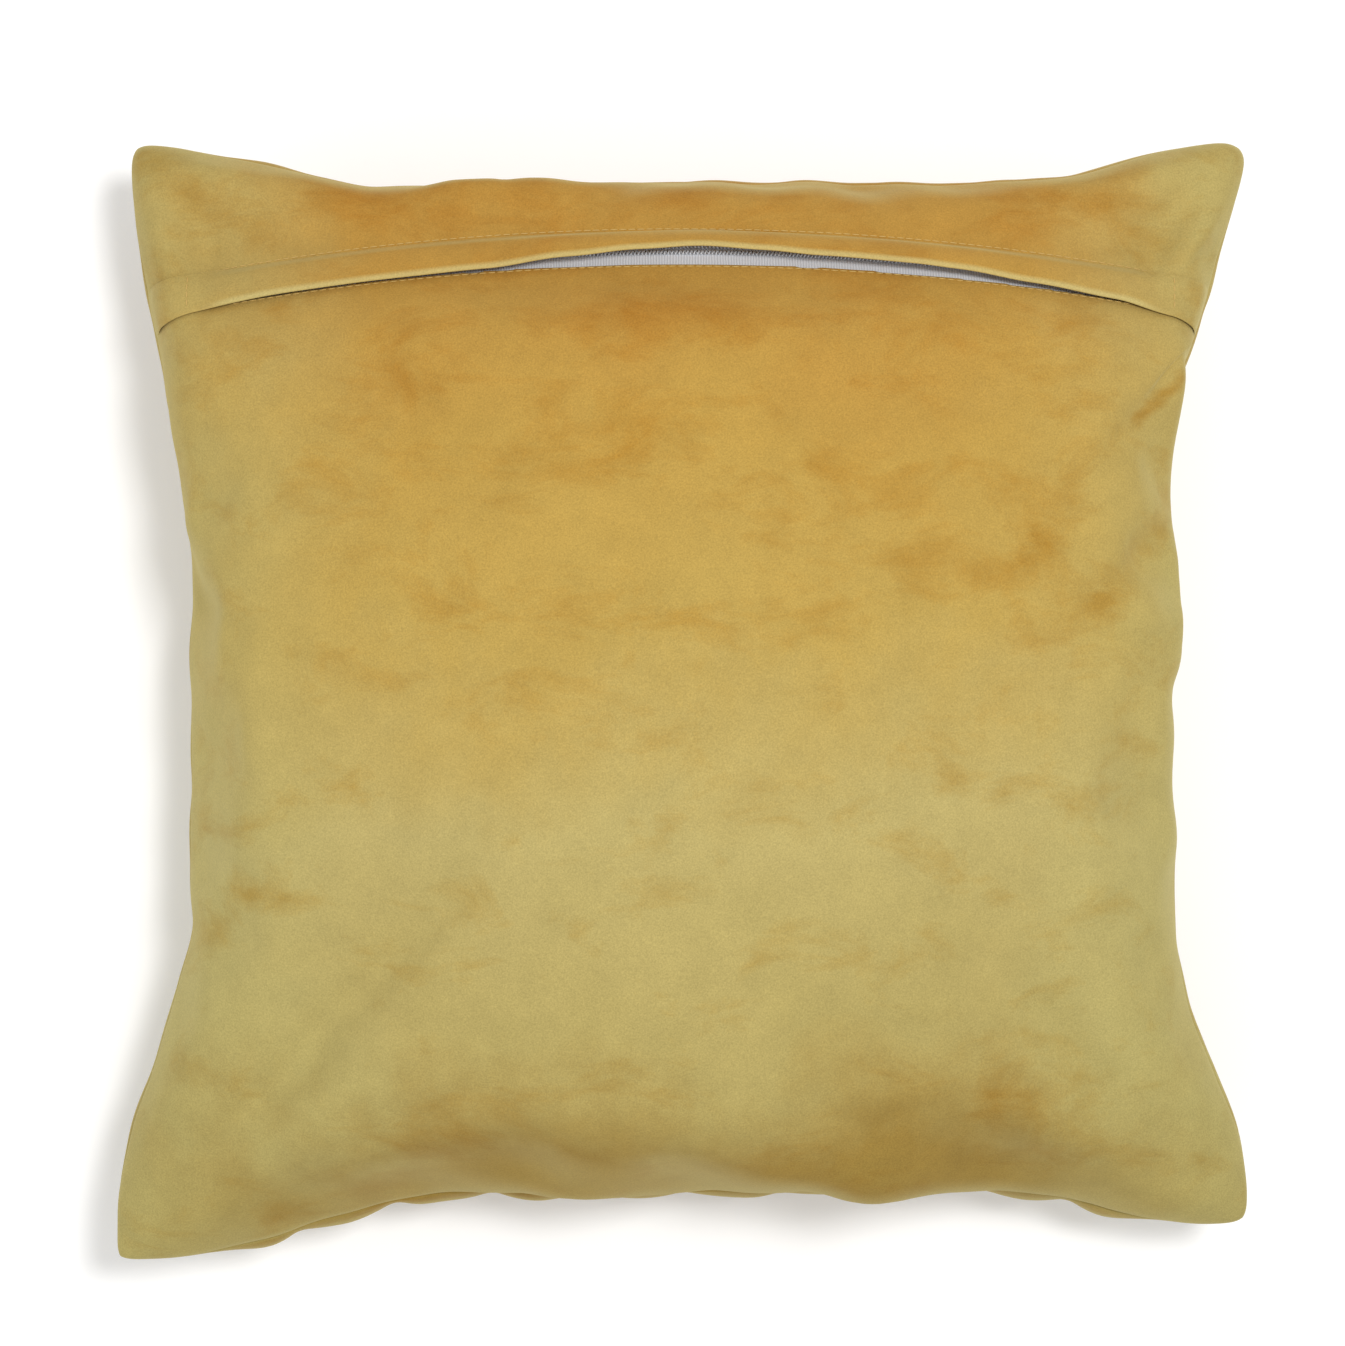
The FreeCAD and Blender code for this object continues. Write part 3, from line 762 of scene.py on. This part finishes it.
def velvet():
    """Cotton velvet: short dense pile, with painted sheen and painted shade in its colour: gold at the zip,
    paler lower down, along the sides and where it is seen edge-on, darker at the foot.
    """
    if "cotton velvet" in bpy.data.materials:
        return bpy.data.materials["cotton velvet"]
    colours = bpy.context.scene.pillow_colours
    material, tree = new_material("cotton velvet")
    place = add_node(tree, "ShaderNodeTexCoord")
    base, share = velvet_base(tree, place, colours)
    clouded = velvet_marks_and_shade(tree, place, colours, base, share)
    # Painted sheen: where the surface is seen edge-on, its colour is mixed towards a paler, greener tone
    facing = add_node(tree, "ShaderNodeLayerWeight", Blend=0.42)
    rim = add_node(
        tree, "ShaderNodeMapRange", [("Value", facing, "Facing")], From_Min=0.45, From_Max=0.95,
        To_Min=0.0, To_Max=0.55,
    )
    # Painted highlight: a pale band along the flap's fold
    fold_highlight = add_node(tree, "ShaderNodeAttribute", attribute_name="brushed")
    pale = add_node(
        tree, "ShaderNodeMath", [(0, fold_highlight, "Fac"), (2, rim, "Result")], operation="MULTIPLY_ADD",
        use_clamp=True,
    )
    pale.inputs[1].default_value = 0.65
    colour = add_node(
        tree, "ShaderNodeMix", [("Factor", pale, "Value"), (6, clouded, 2)], data_type="RGBA"
    )
    colour.inputs[7].default_value = linear(colours.rim)
    # Pile tufts are 0.2 mm apart, drawn at 0.6 mm so that they show
    pile = add_node(
        tree, "ShaderNodeTexNoise", [("Vector", place, "Object")], Scale=1600.0, Detail=2.0, Roughness=0.6
    )
    grain = add_node(
        tree, "ShaderNodeMapRange", [("Value", pile, "Fac")], From_Min=0.25, From_Max=0.75,
        To_Min=0.84, To_Max=1.16,
    )
    grained = add_node(
        tree, "ShaderNodeMix", [(6, colour, 2), (7, grain, "Result")], data_type="RGBA",
        blend_type="MULTIPLY",
    )
    grained.inputs["Factor"].default_value = 1.0
    bump = add_node(tree, "ShaderNodeBump", [("Height", pile, "Fac")], Strength=0.25, Distance=0.0004)
    # Cotton pile has almost no gloss, and its tips scatter a little light back
    shader = add_node(
        tree, "ShaderNodeBsdfPrincipled", [("Base Color", grained, 2), ("Normal", bump, "Normal")],
        Roughness=0.9, Sheen_Weight=0.15, Sheen_Roughness=0.4,
    )
    shader.inputs["Specular IOR Level"].default_value = 0.15
    shader.inputs["Sheen Tint"].default_value = linear(colours.sheen)
    add_node(tree, "ShaderNodeOutputMaterial", [("Surface", shader, "BSDF")])
    return material


# A wave texture's scale times the pitch of its bands
WAVE_SCALE = 0.314


def plain_cloth(name, colour, roughness, pitch, depth):
    """A plain woven or spun material: colour and bump vary at the real thread's pitch, in metres."""
    if name in bpy.data.materials:
        return bpy.data.materials[name]
    material, tree = new_material(name)
    place = add_node(tree, "ShaderNodeTexCoord")
    weave = add_node(
        tree, "ShaderNodeTexWave", [("Vector", place, "Object")], Scale=WAVE_SCALE / pitch, Distortion=1.5,
        Detail=2.0,
    )
    shade = add_node(tree, "ShaderNodeMix", [("Factor", weave, "Fac")], data_type="RGBA")
    shade.inputs[6].default_value = [c * (1 - depth) for c in linear(colour)[:3]] + [1.0]
    shade.inputs[7].default_value = linear(colour)
    bump = add_node(tree, "ShaderNodeBump", [("Height", weave, "Fac")], Strength=0.4, Distance=pitch / 4)
    shader = add_node(
        tree, "ShaderNodeBsdfPrincipled", [("Base Color", shade, 2), ("Normal", bump, "Normal")],
        Roughness=roughness,
    )
    add_node(tree, "ShaderNodeOutputMaterial", [("Surface", shader, "BSDF")])
    return material


def across_in_plan(place):
    """How far a place lies down the pillow from the flap's root, seen from above."""
    arc = ZIP_CENTRE.y + OUT.y * math.sqrt(ZIP_RADIUS ** 2 - place.x ** 2)
    return (place.y - arc) / ACROSS.y


def cut_along_zip(bm, cuts, keep):
    """Splits a bmesh along lines: each is an axis, and a place across from the flap's root or along X.

    keep is 1 for what lies down the pillow from the last line, and -1 for what lies above it.
    """
    layers = [bm.verts.layers.float.new(axis) for axis in "xyz"]
    for vert in bm.verts:
        for layer, value in zip(layers, vert.co):
            vert[layer] = value
        vert.co.y = across_in_plan(vert.co)
    for index, (axis, value) in enumerate(cuts):
        last = index == len(cuts) - 1
        bmesh.ops.bisect_plane(
            bm, geom=bm.verts[:] + bm.edges[:] + bm.faces[:], dist=1e-7,
            plane_co=Vector((value, value, 0)), plane_no=Vector(axis),
            clear_inner=last and keep > 0, clear_outer=last and keep < 0,
        )
    for vert in bm.verts:
        vert.co = Vector([vert[layer] for layer in layers])
    bm.normal_update()


def skin_half(side):
    """Copy of the skin's back (1) or front (-1) half."""
    bm = pillow_skin()["bm"].copy()
    layer = bm.verts.layers.float["cloth_side"]
    gone = [face for face in bm.faces if sum(vert[layer] for vert in face.verts) * side < 0]
    bmesh.ops.delete(bm, geom=gone, context="FACES")
    return bm


class PILLOW_OT_back_panels(bpy.types.Operator):
    """Make the velvet panels above and below the zip"""

    bl_idname = "pillow.back_panels"
    bl_label = "Back panels"

    def execute(self, context):
        for name, keep in (("upper_panel", -1), ("lower_panel", 1)):
            bm = skin_half(1)
            if keep > 0:
                cut_along_zip(bm, [((0, 1, 0), LOWER_EDGE)], 1)
            else:
                ends = [((1, 0, 0), -ZIP_HALF_LENGTH), ((1, 0, 0), ZIP_HALF_LENGTH)]
                cut_along_zip(bm, ends + [((0, 1, 0), 0.0), ((0, 1, 0), LOWER_EDGE)], -1)
                opening = []
                for face in bm.faces:
                    middle = face.calc_center_median()
                    if across_in_plan(middle) > 0 and abs(middle.x) < ZIP_HALF_LENGTH:
                        opening.append(face)
                bmesh.ops.delete(bm, geom=opening, context="FACES")
            panel = new_object(name, bm, velvet(), 1, VELVET_T)
            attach(panel, "cover")
            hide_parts("back_upper_panel" if keep < 0 else "back_lower_panel")
        return {"FINISHED"}


class PILLOW_OT_front_panel(bpy.types.Operator):
    """Make the pinched front panel"""

    bl_idname = "pillow.front_panel"
    bl_label = "Front panel"

    def execute(self, context):
        panel = new_object("front_panel_velvet", skin_half(-1), velvet(), 1, VELVET_T)
        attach(panel, "cover")
        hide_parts("front_panel")
        return {"FINISHED"}


# Section of the doubled flap, in millimetres: across and above the panel, where the third number is
# how much of the flap's extra width the point takes
FLAP_SECTION = (
    (-0.6, 2.2, 0.0), (0.2, 2.4, 0.0), (1.2, 2.8, 0.0), (2.6, 3.4, 0.0), (4.2, 3.95, 0.0), (5.8, 4.35, 0.0),
    (8.5, 4.6, 0.2), (11.5, 4.5, 0.5), (14.0, 4.15, 0.8), (16.0, 3.6, 0.95), (17.5, 3.0, 1.0),
    (18.3, 2.2, 1.0), (17.9, 1.5, 1.0), (16.6, 1.35, 0.95), (14.0, 1.8, 0.8), (11.5, 2.35, 0.5),
    (8.0, 2.5, 0.2), (5.8, 2.35, 0.0), (4.2, 1.95, 0.0), (2.8, 1.5, 0.0), (1.4, 1.0, 0.0), (0.2, 0.7, 0.0),
)
# Across the flap, where the painted highlight along its fold starts, and over how far
FOLD_FROM, FOLD_W = 16.3, 1.2
# Half the flap's length, before its ends are fitted to the seam
FLAP_HALF_LENGTH = 198 * MM
# Where it lies down on the panel past the zip, and how thin it is there
LIES_FROM, LIES_W, LIES_THINNER = 170 * MM, 18 * MM, 0.45
# How near its end it sinks into the seam, how thin it is there and how far it sinks in millimetres
SINKS_W, SINKS_THINNER, SINKS_BY = 7 * MM, 0.8, 0.5
# The middle of the blend, across and above the root, and how far out it starts and ends
BLEND_ACROSS, BLEND_UP = 9 * MM, 3.5 * MM
BLEND_IN, BLEND_OUT = 30 * MM, 105 * MM
# How far above the zip's arc a place on the skin is looked for, and how deep
LOOK_FROM, LOOK_DEPTH = 60 * MM, 200 * MM


def on_skin(x, across):
    """Point and outward direction of the skin at a place beside the zip, straight below the zip's arc."""
    start = zip_point(x, across, 0)
    start.z += LOOK_FROM
    hit, normal, _, _ = pillow_skin()["tree"].ray_cast(start, Vector((0, 0, -1)), LOOK_DEPTH)
    return hit, normal


def rim_x(side, across):
    """How far out the cloth reaches sideways at a place across the zip."""
    x = 150 * MM
    while past_outline("right" if side > 0 else "left", zip_point(side * x, across, 0)) < -1.2 * MM:
        x += 0.5 * MM
    return x


def flap_point(side, share, section, rims):
    """Place of one point of the flap, and how strongly the painted highlight along its fold shows there."""
    across, level, widen = section
    turn = math.sin(math.pi / 2 * share)
    x = side * FLAP_HALF_LENGTH * turn
    reach = across + widen * along_table(FLAP_REACH, x)
    lift = math.radians(along_table(FLAP_LIFT, x)) * smooth(across / 6)
    a = (reach * math.cos(lift) - level * math.sin(lift)) * MM
    key = round(a / MM)
    if key not in rims:
        rims[key] = rim_x(side, key * MM)
    x = side * rims[key] * turn
    # Past the zip the flap lies down on the panel, and at its ends it runs into the side seam
    lying = smooth((abs(x) - LIES_FROM) / LIES_W)
    sunk = smooth((abs(x) - rims[key]) / SINKS_W + 1)
    level = level * (1 - LIES_THINNER * lying) * (1 - SINKS_THINNER * sunk) - SINKS_BY * sunk
    h = (level * math.cos(lift) + reach * math.sin(lift)) * MM
    base, normal = on_skin(x, a)
    base -= out_at(x) * swell_above_zip(base) * (1 - lying)
    away = out_at(x).lerp(normal, lying).normalized()
    return base + away * h, smooth((across - FOLD_FROM) / FOLD_W) * (1 - lying)


class PILLOW_OT_flap(bpy.types.Operator):
    """Make the doubled flap over the zip, in two halves that meet in the middle"""

    bl_idname = "pillow.flap"
    bl_label = "Zip flap"

    along = 64

    def execute(self, context):
        for name, side in (("flap_left", -1), ("flap_right", 1)):
            count = len(FLAP_SECTION)
            rims = {}
            bm = bmesh.new()
            bmesh.ops.create_grid(bm, x_segments=self.along, y_segments=count, size=1)
            # The brushed layer holds the painted highlight along the fold
            brushed = bm.verts.layers.float.new("brushed")
            for vert in bm.verts:
                section = FLAP_SECTION[round((vert.co.y + 1) / 2 * count) % count]
                vert.co, vert[brushed] = flap_point(side, (vert.co.x + 1) / 2, section, rims)
            bmesh.ops.remove_doubles(bm, verts=bm.verts, dist=1e-6)
            # The halves meet in the middle, so their ends are closed flat and stay sharp
            creased = bm.edges.layers.float.new("crease_edge")
            ends = [edge for edge in bm.edges if edge.is_boundary]
            for edge in ends:
                edge[creased] = 1.0
                edge.smooth = False
            bmesh.ops.holes_fill(bm, edges=ends, sides=0)
            bmesh.ops.recalc_face_normals(bm, faces=bm.faces)
            flap = new_object(name, bm, velvet(), 2)
            root = zip_point(0, BLEND_ACROSS, BLEND_UP)
            start = root + Vector((side * BLEND_OUT, 0, 0))
            end = root + Vector((side * BLEND_IN, 0, 0))
            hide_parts("zip_flap")
            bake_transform(flap, "cover", "flap", start=start, end=end)
        return {"FINISHED"}


def zip_strip(name, across_from, across_to, level, thickness, half_length, material):
    """Closed strip that follows the zip's arc, with its top at `level`."""
    bm = bmesh.new()
    bmesh.ops.create_grid(bm, x_segments=180, y_segments=6, size=1)
    for vert in bm.verts:
        x = half_length * vert.co.x
        a = across_from + (across_to - across_from) * (vert.co.y + 1) / 2
        vert.co = zip_point(x, a, level)
    bmesh.ops.recalc_face_normals(bm, faces=bm.faces)
    bm.faces.ensure_lookup_table()
    if bm.faces[0].normal.dot(OUT) < 0:
        bmesh.ops.reverse_faces(bm, faces=bm.faces)
    return new_object(name, bm, material, wall=thickness)


def coil(name, across, side, material):
    """Half of a zip's coil: one monofilament wound into flattened turns along the tape's edge."""
    pitch, wire = COIL_PITCH, COIL_WIRE_R
    half_w, half_h = COIL_HALF_W - wire, COIL_HALF_H - wire
    turns = int(2 * ZIP_HALF_LENGTH / pitch)
    per_turn, ring = 12, 5
    bm = bmesh.new()
    bmesh.ops.create_grid(bm, x_segments=turns * per_turn, y_segments=ring, size=1)
    for vert in bm.verts:
        along = (vert.co.x + 1) / 2 * turns
        round_wire = (vert.co.y + 1) * math.pi
        angle = 2 * math.pi * along * side
        x = -ZIP_HALF_LENGTH + along * pitch + (side < 0) * pitch / 2
        a = across + math.cos(angle) * (half_w + wire * math.cos(round_wire))
        level = COIL_LEVEL + math.sin(angle) * (half_h + wire * math.cos(round_wire))
        vert.co = zip_point(x + wire * math.sin(round_wire), a, level)
    bmesh.ops.remove_doubles(bm, verts=bm.verts, dist=1e-7)
    bmesh.ops.holes_fill(bm, edges=[e for e in bm.edges if e.is_boundary], sides=0)
    bmesh.ops.recalc_face_normals(bm, faces=bm.faces)
    return new_object(name, bm, material)


def zinc_alloy():
    """Die-cast zinc alloy with a bright nickel finish: a small hard glint, lightly clouded by handling."""
    material, tree = new_material("nickelled zinc")
    place = add_node(tree, "ShaderNodeTexCoord")
    # Handling clouds the finish every 1.5 mm or so
    cloud = add_node(tree, "ShaderNodeTexNoise", [("Vector", place, "Object")], Scale=600.0, Detail=3.0)
    rough = add_node(tree, "ShaderNodeMapRange", [("Value", cloud, "Fac")], To_Min=0.22, To_Max=0.4)
    shader = add_node(tree, "ShaderNodeBsdfPrincipled", [("Roughness", rough, "Result")], Metallic=1.0)
    shader.inputs["Base Color"].default_value = linear(bpy.context.scene.pillow_colours.metal)
    add_node(tree, "ShaderNodeOutputMaterial", [("Surface", shader, "BSDF")])
    return material


def give_material(node, material):
    """Puts a material on a CAD node."""
    mesh = frame["nodes"][node].data
    mesh.materials.clear()
    mesh.materials.append(material)


class PILLOW_OT_zip(bpy.types.Operator):
    """Make the zip's tapes and coils, and finish its slider and pull tab"""

    bl_idname = "pillow.zip"
    bl_label = "Zip"

    def execute(self, context):
        colours = context.scene.pillow_colours
        # The tape is a matt, pale band with ribs 1.05 mm apart
        woven = plain_cloth("woven polyester tape", colours.tape, 0.7, 1.05 * MM, 0.25)
        # The coil is smooth drawn nylon with a soft gloss
        nylon = plain_cloth("nylon monofilament", colours.tape, 0.35, COIL_PITCH, 0.1)
        upper, lower = CHAIN_FROM_ROOT - TAPE_GAP, CHAIN_FROM_ROOT + TAPE_GAP
        for half, start, end in (("upper", upper - TAPE_W, upper), ("lower", lower, lower + TAPE_W)):
            tape = zip_strip("tape_" + half, start, end, TAPE_TOP, TAPE_T, ZIP_HALF_LENGTH, woven)
            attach(tape, "cover")
            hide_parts("zip_tape_" + half)
        for half, side in (("upper", -1), ("lower", 1)):
            teeth = coil("coil_" + half, CHAIN_FROM_ROOT + side * COIL_FROM_CHAIN, side, nylon)
            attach(teeth, "cover")
            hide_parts("zip_coil_" + half)
        metal = zinc_alloy()
        give_material("zip_slider", metal)
        give_material("pull_tab", metal)
        return {"FINISHED"}


def stitches(name, spots, material):
    """Row of stitches: each spot is a middle, a direction along the stitch and a direction off the cloth."""
    bm = bmesh.new()
    for middle, along, off in spots:
        made = bmesh.ops.create_uvsphere(bm, u_segments=6, v_segments=5, radius=1)
        side = along.cross(off).normalized()
        for vert in made["verts"]:
            x, y, z = vert.co
            vert.co = middle + along * z * STITCH_L / 2 + side * x * THREAD_R + off * y * THREAD_R * 0.8
    bmesh.ops.recalc_face_normals(bm, faces=bm.faces)
    return new_object(name, bm, material)


def row_along_zip(across, half_length):
    """Spots of a stitched row along the zip, lying on the cloth."""
    count = int(2 * half_length / STITCH_PITCH)
    spots = []
    for i in range(count):
        x = (i - (count - 1) / 2) * STITCH_PITCH
        (here, off), (ahead, _) = on_skin(x, across), on_skin(x + MM, across)
        spots.append((here + off * STITCH_PROUD, (ahead - here).normalized(), off))
    return spots


def seam_loop():
    """The skin's vertices along the seam, in order round the pillow."""
    bm = pillow_skin()["bm"]
    layer = bm.verts.layers.float["cloth_side"]
    first = next(vert for vert in bm.verts if abs(vert[layer]) < 1e-5)
    loop, last = [first], None
    while True:
        here = loop[-1]
        beside = [edge.other_vert(here) for edge in here.link_edges]
        ahead = [vert for vert in beside if abs(vert[layer]) < 1e-5 and vert is not last]
        if ahead[0] is first:
            return loop
        last = here
        loop.append(ahead[0])


def seam_line(name, inset, material):
    """Closed line of thread that runs inside the seam all the way round."""
    places = []
    for vert in seam_loop():
        inwards = Vector((-vert.co.x, -vert.co.y, 0)).normalized()
        places.append(vert.co + inwards * inset)
    bm = bmesh.new()
    bmesh.ops.create_grid(bm, x_segments=len(places), y_segments=5, size=1)
    for vert in bm.verts:
        index = round((vert.co.x + 1) / 2 * len(places)) % len(places)
        angle = (vert.co.y + 1) * math.pi
        sideways = Vector((-places[index].x, -places[index].y, 0)).normalized()
        ring = sideways * math.cos(angle) + Vector((0, 0, 1)) * math.sin(angle)
        vert.co = places[index] + ring * THREAD_R * 0.6
    bmesh.ops.remove_doubles(bm, verts=bm.verts, dist=1e-7)
    bmesh.ops.recalc_face_normals(bm, faces=bm.faces)
    return new_object(name, bm, material)


def tack_spots(x, flaps):
    """Spots of the row of stitches across the flap at a place along it."""
    spots = []
    for i in range(TACK_STITCHES):
        a = TACK_FROM_ROOT + i * STITCH_PITCH
        hits = [tree.ray_cast(zip_point(x, a, 30 * MM), -out_at(x), 0.1) for tree in flaps]
        hits = [hit for hit in hits if hit[0] is not None]
        if hits:
            here, off = hits[0][:2]
            along = (ACROSS - off * ACROSS.dot(off)).normalized()
            spots.append((here + off * TACK_PROUD, along, off))
    return spots


class PILLOW_OT_stitching(bpy.types.Operator):
    """Sew the rows of stitching along and across the zip, and the seams round the cover and the insert"""

    bl_idname = "pillow.stitching"
    bl_label = "Stitching"

    def execute(self, context):
        # Spun thread is matt, a little paler than the pile, with a twist every 0.5 mm
        stitch = context.scene.pillow_colours.stitch
        thread = plain_cloth("spun polyester thread", stitch, 0.6, 0.5 * MM, 0.2)
        graph = context.evaluated_depsgraph_get()
        flaps = [BVHTree.FromObject(bpy.data.objects[name], graph) for name in ("flap_left", "flap_right")]
        rows = {
            "flap_topstitch": row_along_zip(-STITCH_FROM_ROOT, TOPSTITCH_HALF_LENGTH),
            "edge_topstitch": row_along_zip(LOWER_EDGE + STITCH_FROM_EDGE, EDGE_STITCH_HALF_LENGTH),
            "end_tack_left": tack_spots(-TACK_X, flaps),
            "end_tack_right": tack_spots(TACK_X, flaps),
        }
        for name, spots in rows.items():
            row = stitches("stitched_" + name, spots, thread)
            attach(row, "cover")
            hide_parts(name)
        seams = (
            ("cover_seam_thread", COVER_SEAM_INSET, "thread"),
            ("insert_seam_thread", INSERT_SEAM_INSET, "insert_thread"),
        )
        for name, inset, slot in seams:
            seam = seam_line("sewn_" + name, inset, thread)
            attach(seam, "cover")
            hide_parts(name)
        return {"FINISHED"}


def shrunk(bm, inset, recess):
    """Draws a copy of the skin inwards by about `inset`, and further below the zip by `recess`."""
    for vert in bm.verts:
        place = vert.co
        x = place.x * (1 - inset / 0.2)
        y = place.y * (1 - inset / 0.2)
        crown = BACK_CROWN if place.z > SEAM_Z else SEAM_Z
        z = SEAM_Z + (place.z - SEAM_Z) * (1 - inset / crown)
        place = settled_on_zip(Vector((x, y, z)), inset + recess)
        for _ in range(2):
            near, normal, _, _ = SKIN["tree"].find_nearest(place)
            place -= normal * max(0.0, inset * 0.9 - (near - place).dot(normal))
        vert.co = place
    return bm


class PILLOW_OT_insert(bpy.types.Operator):
    """Make the fibre-filled insert inside the cover"""

    bl_idname = "pillow.insert"
    bl_label = "Insert"

    def execute(self, context):
        colours = context.scene.pillow_colours
        # Ticking is plain matt cotton: 0.4 mm threads, drawn at 1 mm so that they show
        ticking = plain_cloth("cotton ticking", colours.ticking, 0.8, 1.0 * MM, 0.08)
        # Fibre is a soft white mass in clumps of about 3 mm
        wadding = plain_cloth("polyester fibre", colours.filling, 0.95, 3.0 * MM, 0.05)
        pieces = (
            ("ticking_back", 1, TICKING_INSET, "insert_case_back", ticking, "ticking"),
            ("ticking_front", -1, TICKING_INSET, "insert_case_front", ticking, "ticking"),
            ("fibre_filling", 0, FILLING_INSET, "insert_filling", wadding, "filling"),
        )
        for name, side, inset, node, material, slot in pieces:
            bm = skin_half(side) if side else pillow_skin()["bm"].copy()
            shrunk(bm, inset, ZIP_RECESS)
            piece = new_object(name, bm, material, wall=TICKING_T if side else 0.0)
            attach(piece, "cover")
            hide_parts(node)
        return {"FINISHED"}


class PILLOW_OT_stage(bpy.types.Operator):
    """Set up the floor, the soft lights and the camera"""

    bl_idname = "pillow.stage"
    bl_label = "Stage"

    def execute(self, context):
        stage = context.scene.pillow_stage
        scene = context.scene
        bm = bmesh.new()
        bmesh.ops.create_grid(bm, x_segments=1, y_segments=1, size=40)
        floor = new_object("floor", bm, self.paper())
        floor.data.transform(floor.matrix_world)
        world = bpy.data.worlds.new("studio")
        world.use_nodes = True
        background = world.node_tree.nodes["Background"]
        background.inputs["Color"].default_value = (1, 1, 1, 1)
        background.inputs["Strength"].default_value = stage.sky
        scene.world = world
        self.area_lamp(scene, "key", stage.key, 0.3, (0.38, 0.25, 1.70))
        self.area_lamp(scene, "fill", stage.soft, 1.2, (-1.3, -0.5, 0.9))
        camera_data = bpy.data.cameras.new("camera")
        camera_data.lens = stage.lens
        camera = bpy.data.objects.new("camera", camera_data)
        camera.location = (-0.0033, 0.0106, SEAM_Z + stage.distance)
        scene.collection.objects.link(camera)
        scene.camera = camera
        scene.view_settings.view_transform = "Standard"
        return {"FINISHED"}

    @staticmethod
    def area_lamp(scene, name, energy, size, place):
        """Puts a soft lamp at a place, aimed at the pillow's middle."""
        lamp = bpy.data.lights.new(name, "AREA")
        lamp.energy = energy
        lamp.size = size
        holder = bpy.data.objects.new(name, lamp)
        holder.location = place
        holder.rotation_euler = (Vector((0, 0, 0.05)) - holder.location).to_track_quat("-Z", "Y").to_euler()
        scene.collection.objects.link(holder)

    @staticmethod
    def paper():
        """Matt white backdrop paper, which glows a little so that it stays white round the shadow."""
        material = bpy.data.materials.new("backdrop paper")
        material.use_nodes = True
        shader = material.node_tree.nodes["Principled BSDF"]
        shader.inputs["Base Color"].default_value = linear(bpy.context.scene.pillow_colours.paper)
        shader.inputs["Roughness"].default_value = 0.95
        shader.inputs["Emission Color"].default_value = (1, 1, 1, 1)
        shader.inputs["Emission Strength"].default_value = 0.1
        return material


class PILLOW_PT_sidebar(bpy.types.Panel):
    """Sizes, colours and steps of the pillow"""

    bl_idname = "PILLOW_PT_sidebar"
    bl_label = "Throw pillow"
    bl_space_type = "VIEW_3D"
    bl_region_type = "UI"
    bl_category = "Pillow"

    def draw(self, context):
        for group in (context.scene.pillow_cover, context.scene.pillow_colours, context.scene.pillow_stage):
            box = self.layout.box()
            for name in group.__annotations__:
                box.prop(group, name)
        for step in STEPS:
            self.layout.operator(step.bl_idname)


GROUPS = {"pillow_cover": PillowCover, "pillow_colours": PillowColours, "pillow_stage": PillowStage}
STEPS = (
    PILLOW_OT_stage, PILLOW_OT_back_panels, PILLOW_OT_front_panel, PILLOW_OT_flap, PILLOW_OT_zip,
    PILLOW_OT_stitching, PILLOW_OT_insert,
)


def register():
    """Registers the settings, the operators and the panel."""
    for name, group in GROUPS.items():
        bpy.utils.register_class(group)
        setattr(bpy.types.Scene, name, bpy.props.PointerProperty(type=group))
    for kind in STEPS + (PILLOW_PT_sidebar,):
        bpy.utils.register_class(kind)


def unregister():
    """Removes what register() added."""
    for kind in reversed(STEPS + (PILLOW_PT_sidebar,)):
        bpy.utils.unregister_class(kind)
    for name, group in GROUPS.items():
        delattr(bpy.types.Scene, name)
        bpy.utils.unregister_class(group)


def main():
    """Builds the whole pillow."""
    register()
    for step in STEPS:
        group, name = step.bl_idname.split(".")
        getattr(getattr(bpy.ops, group), name)()


if __name__ == "__main__":
    main()
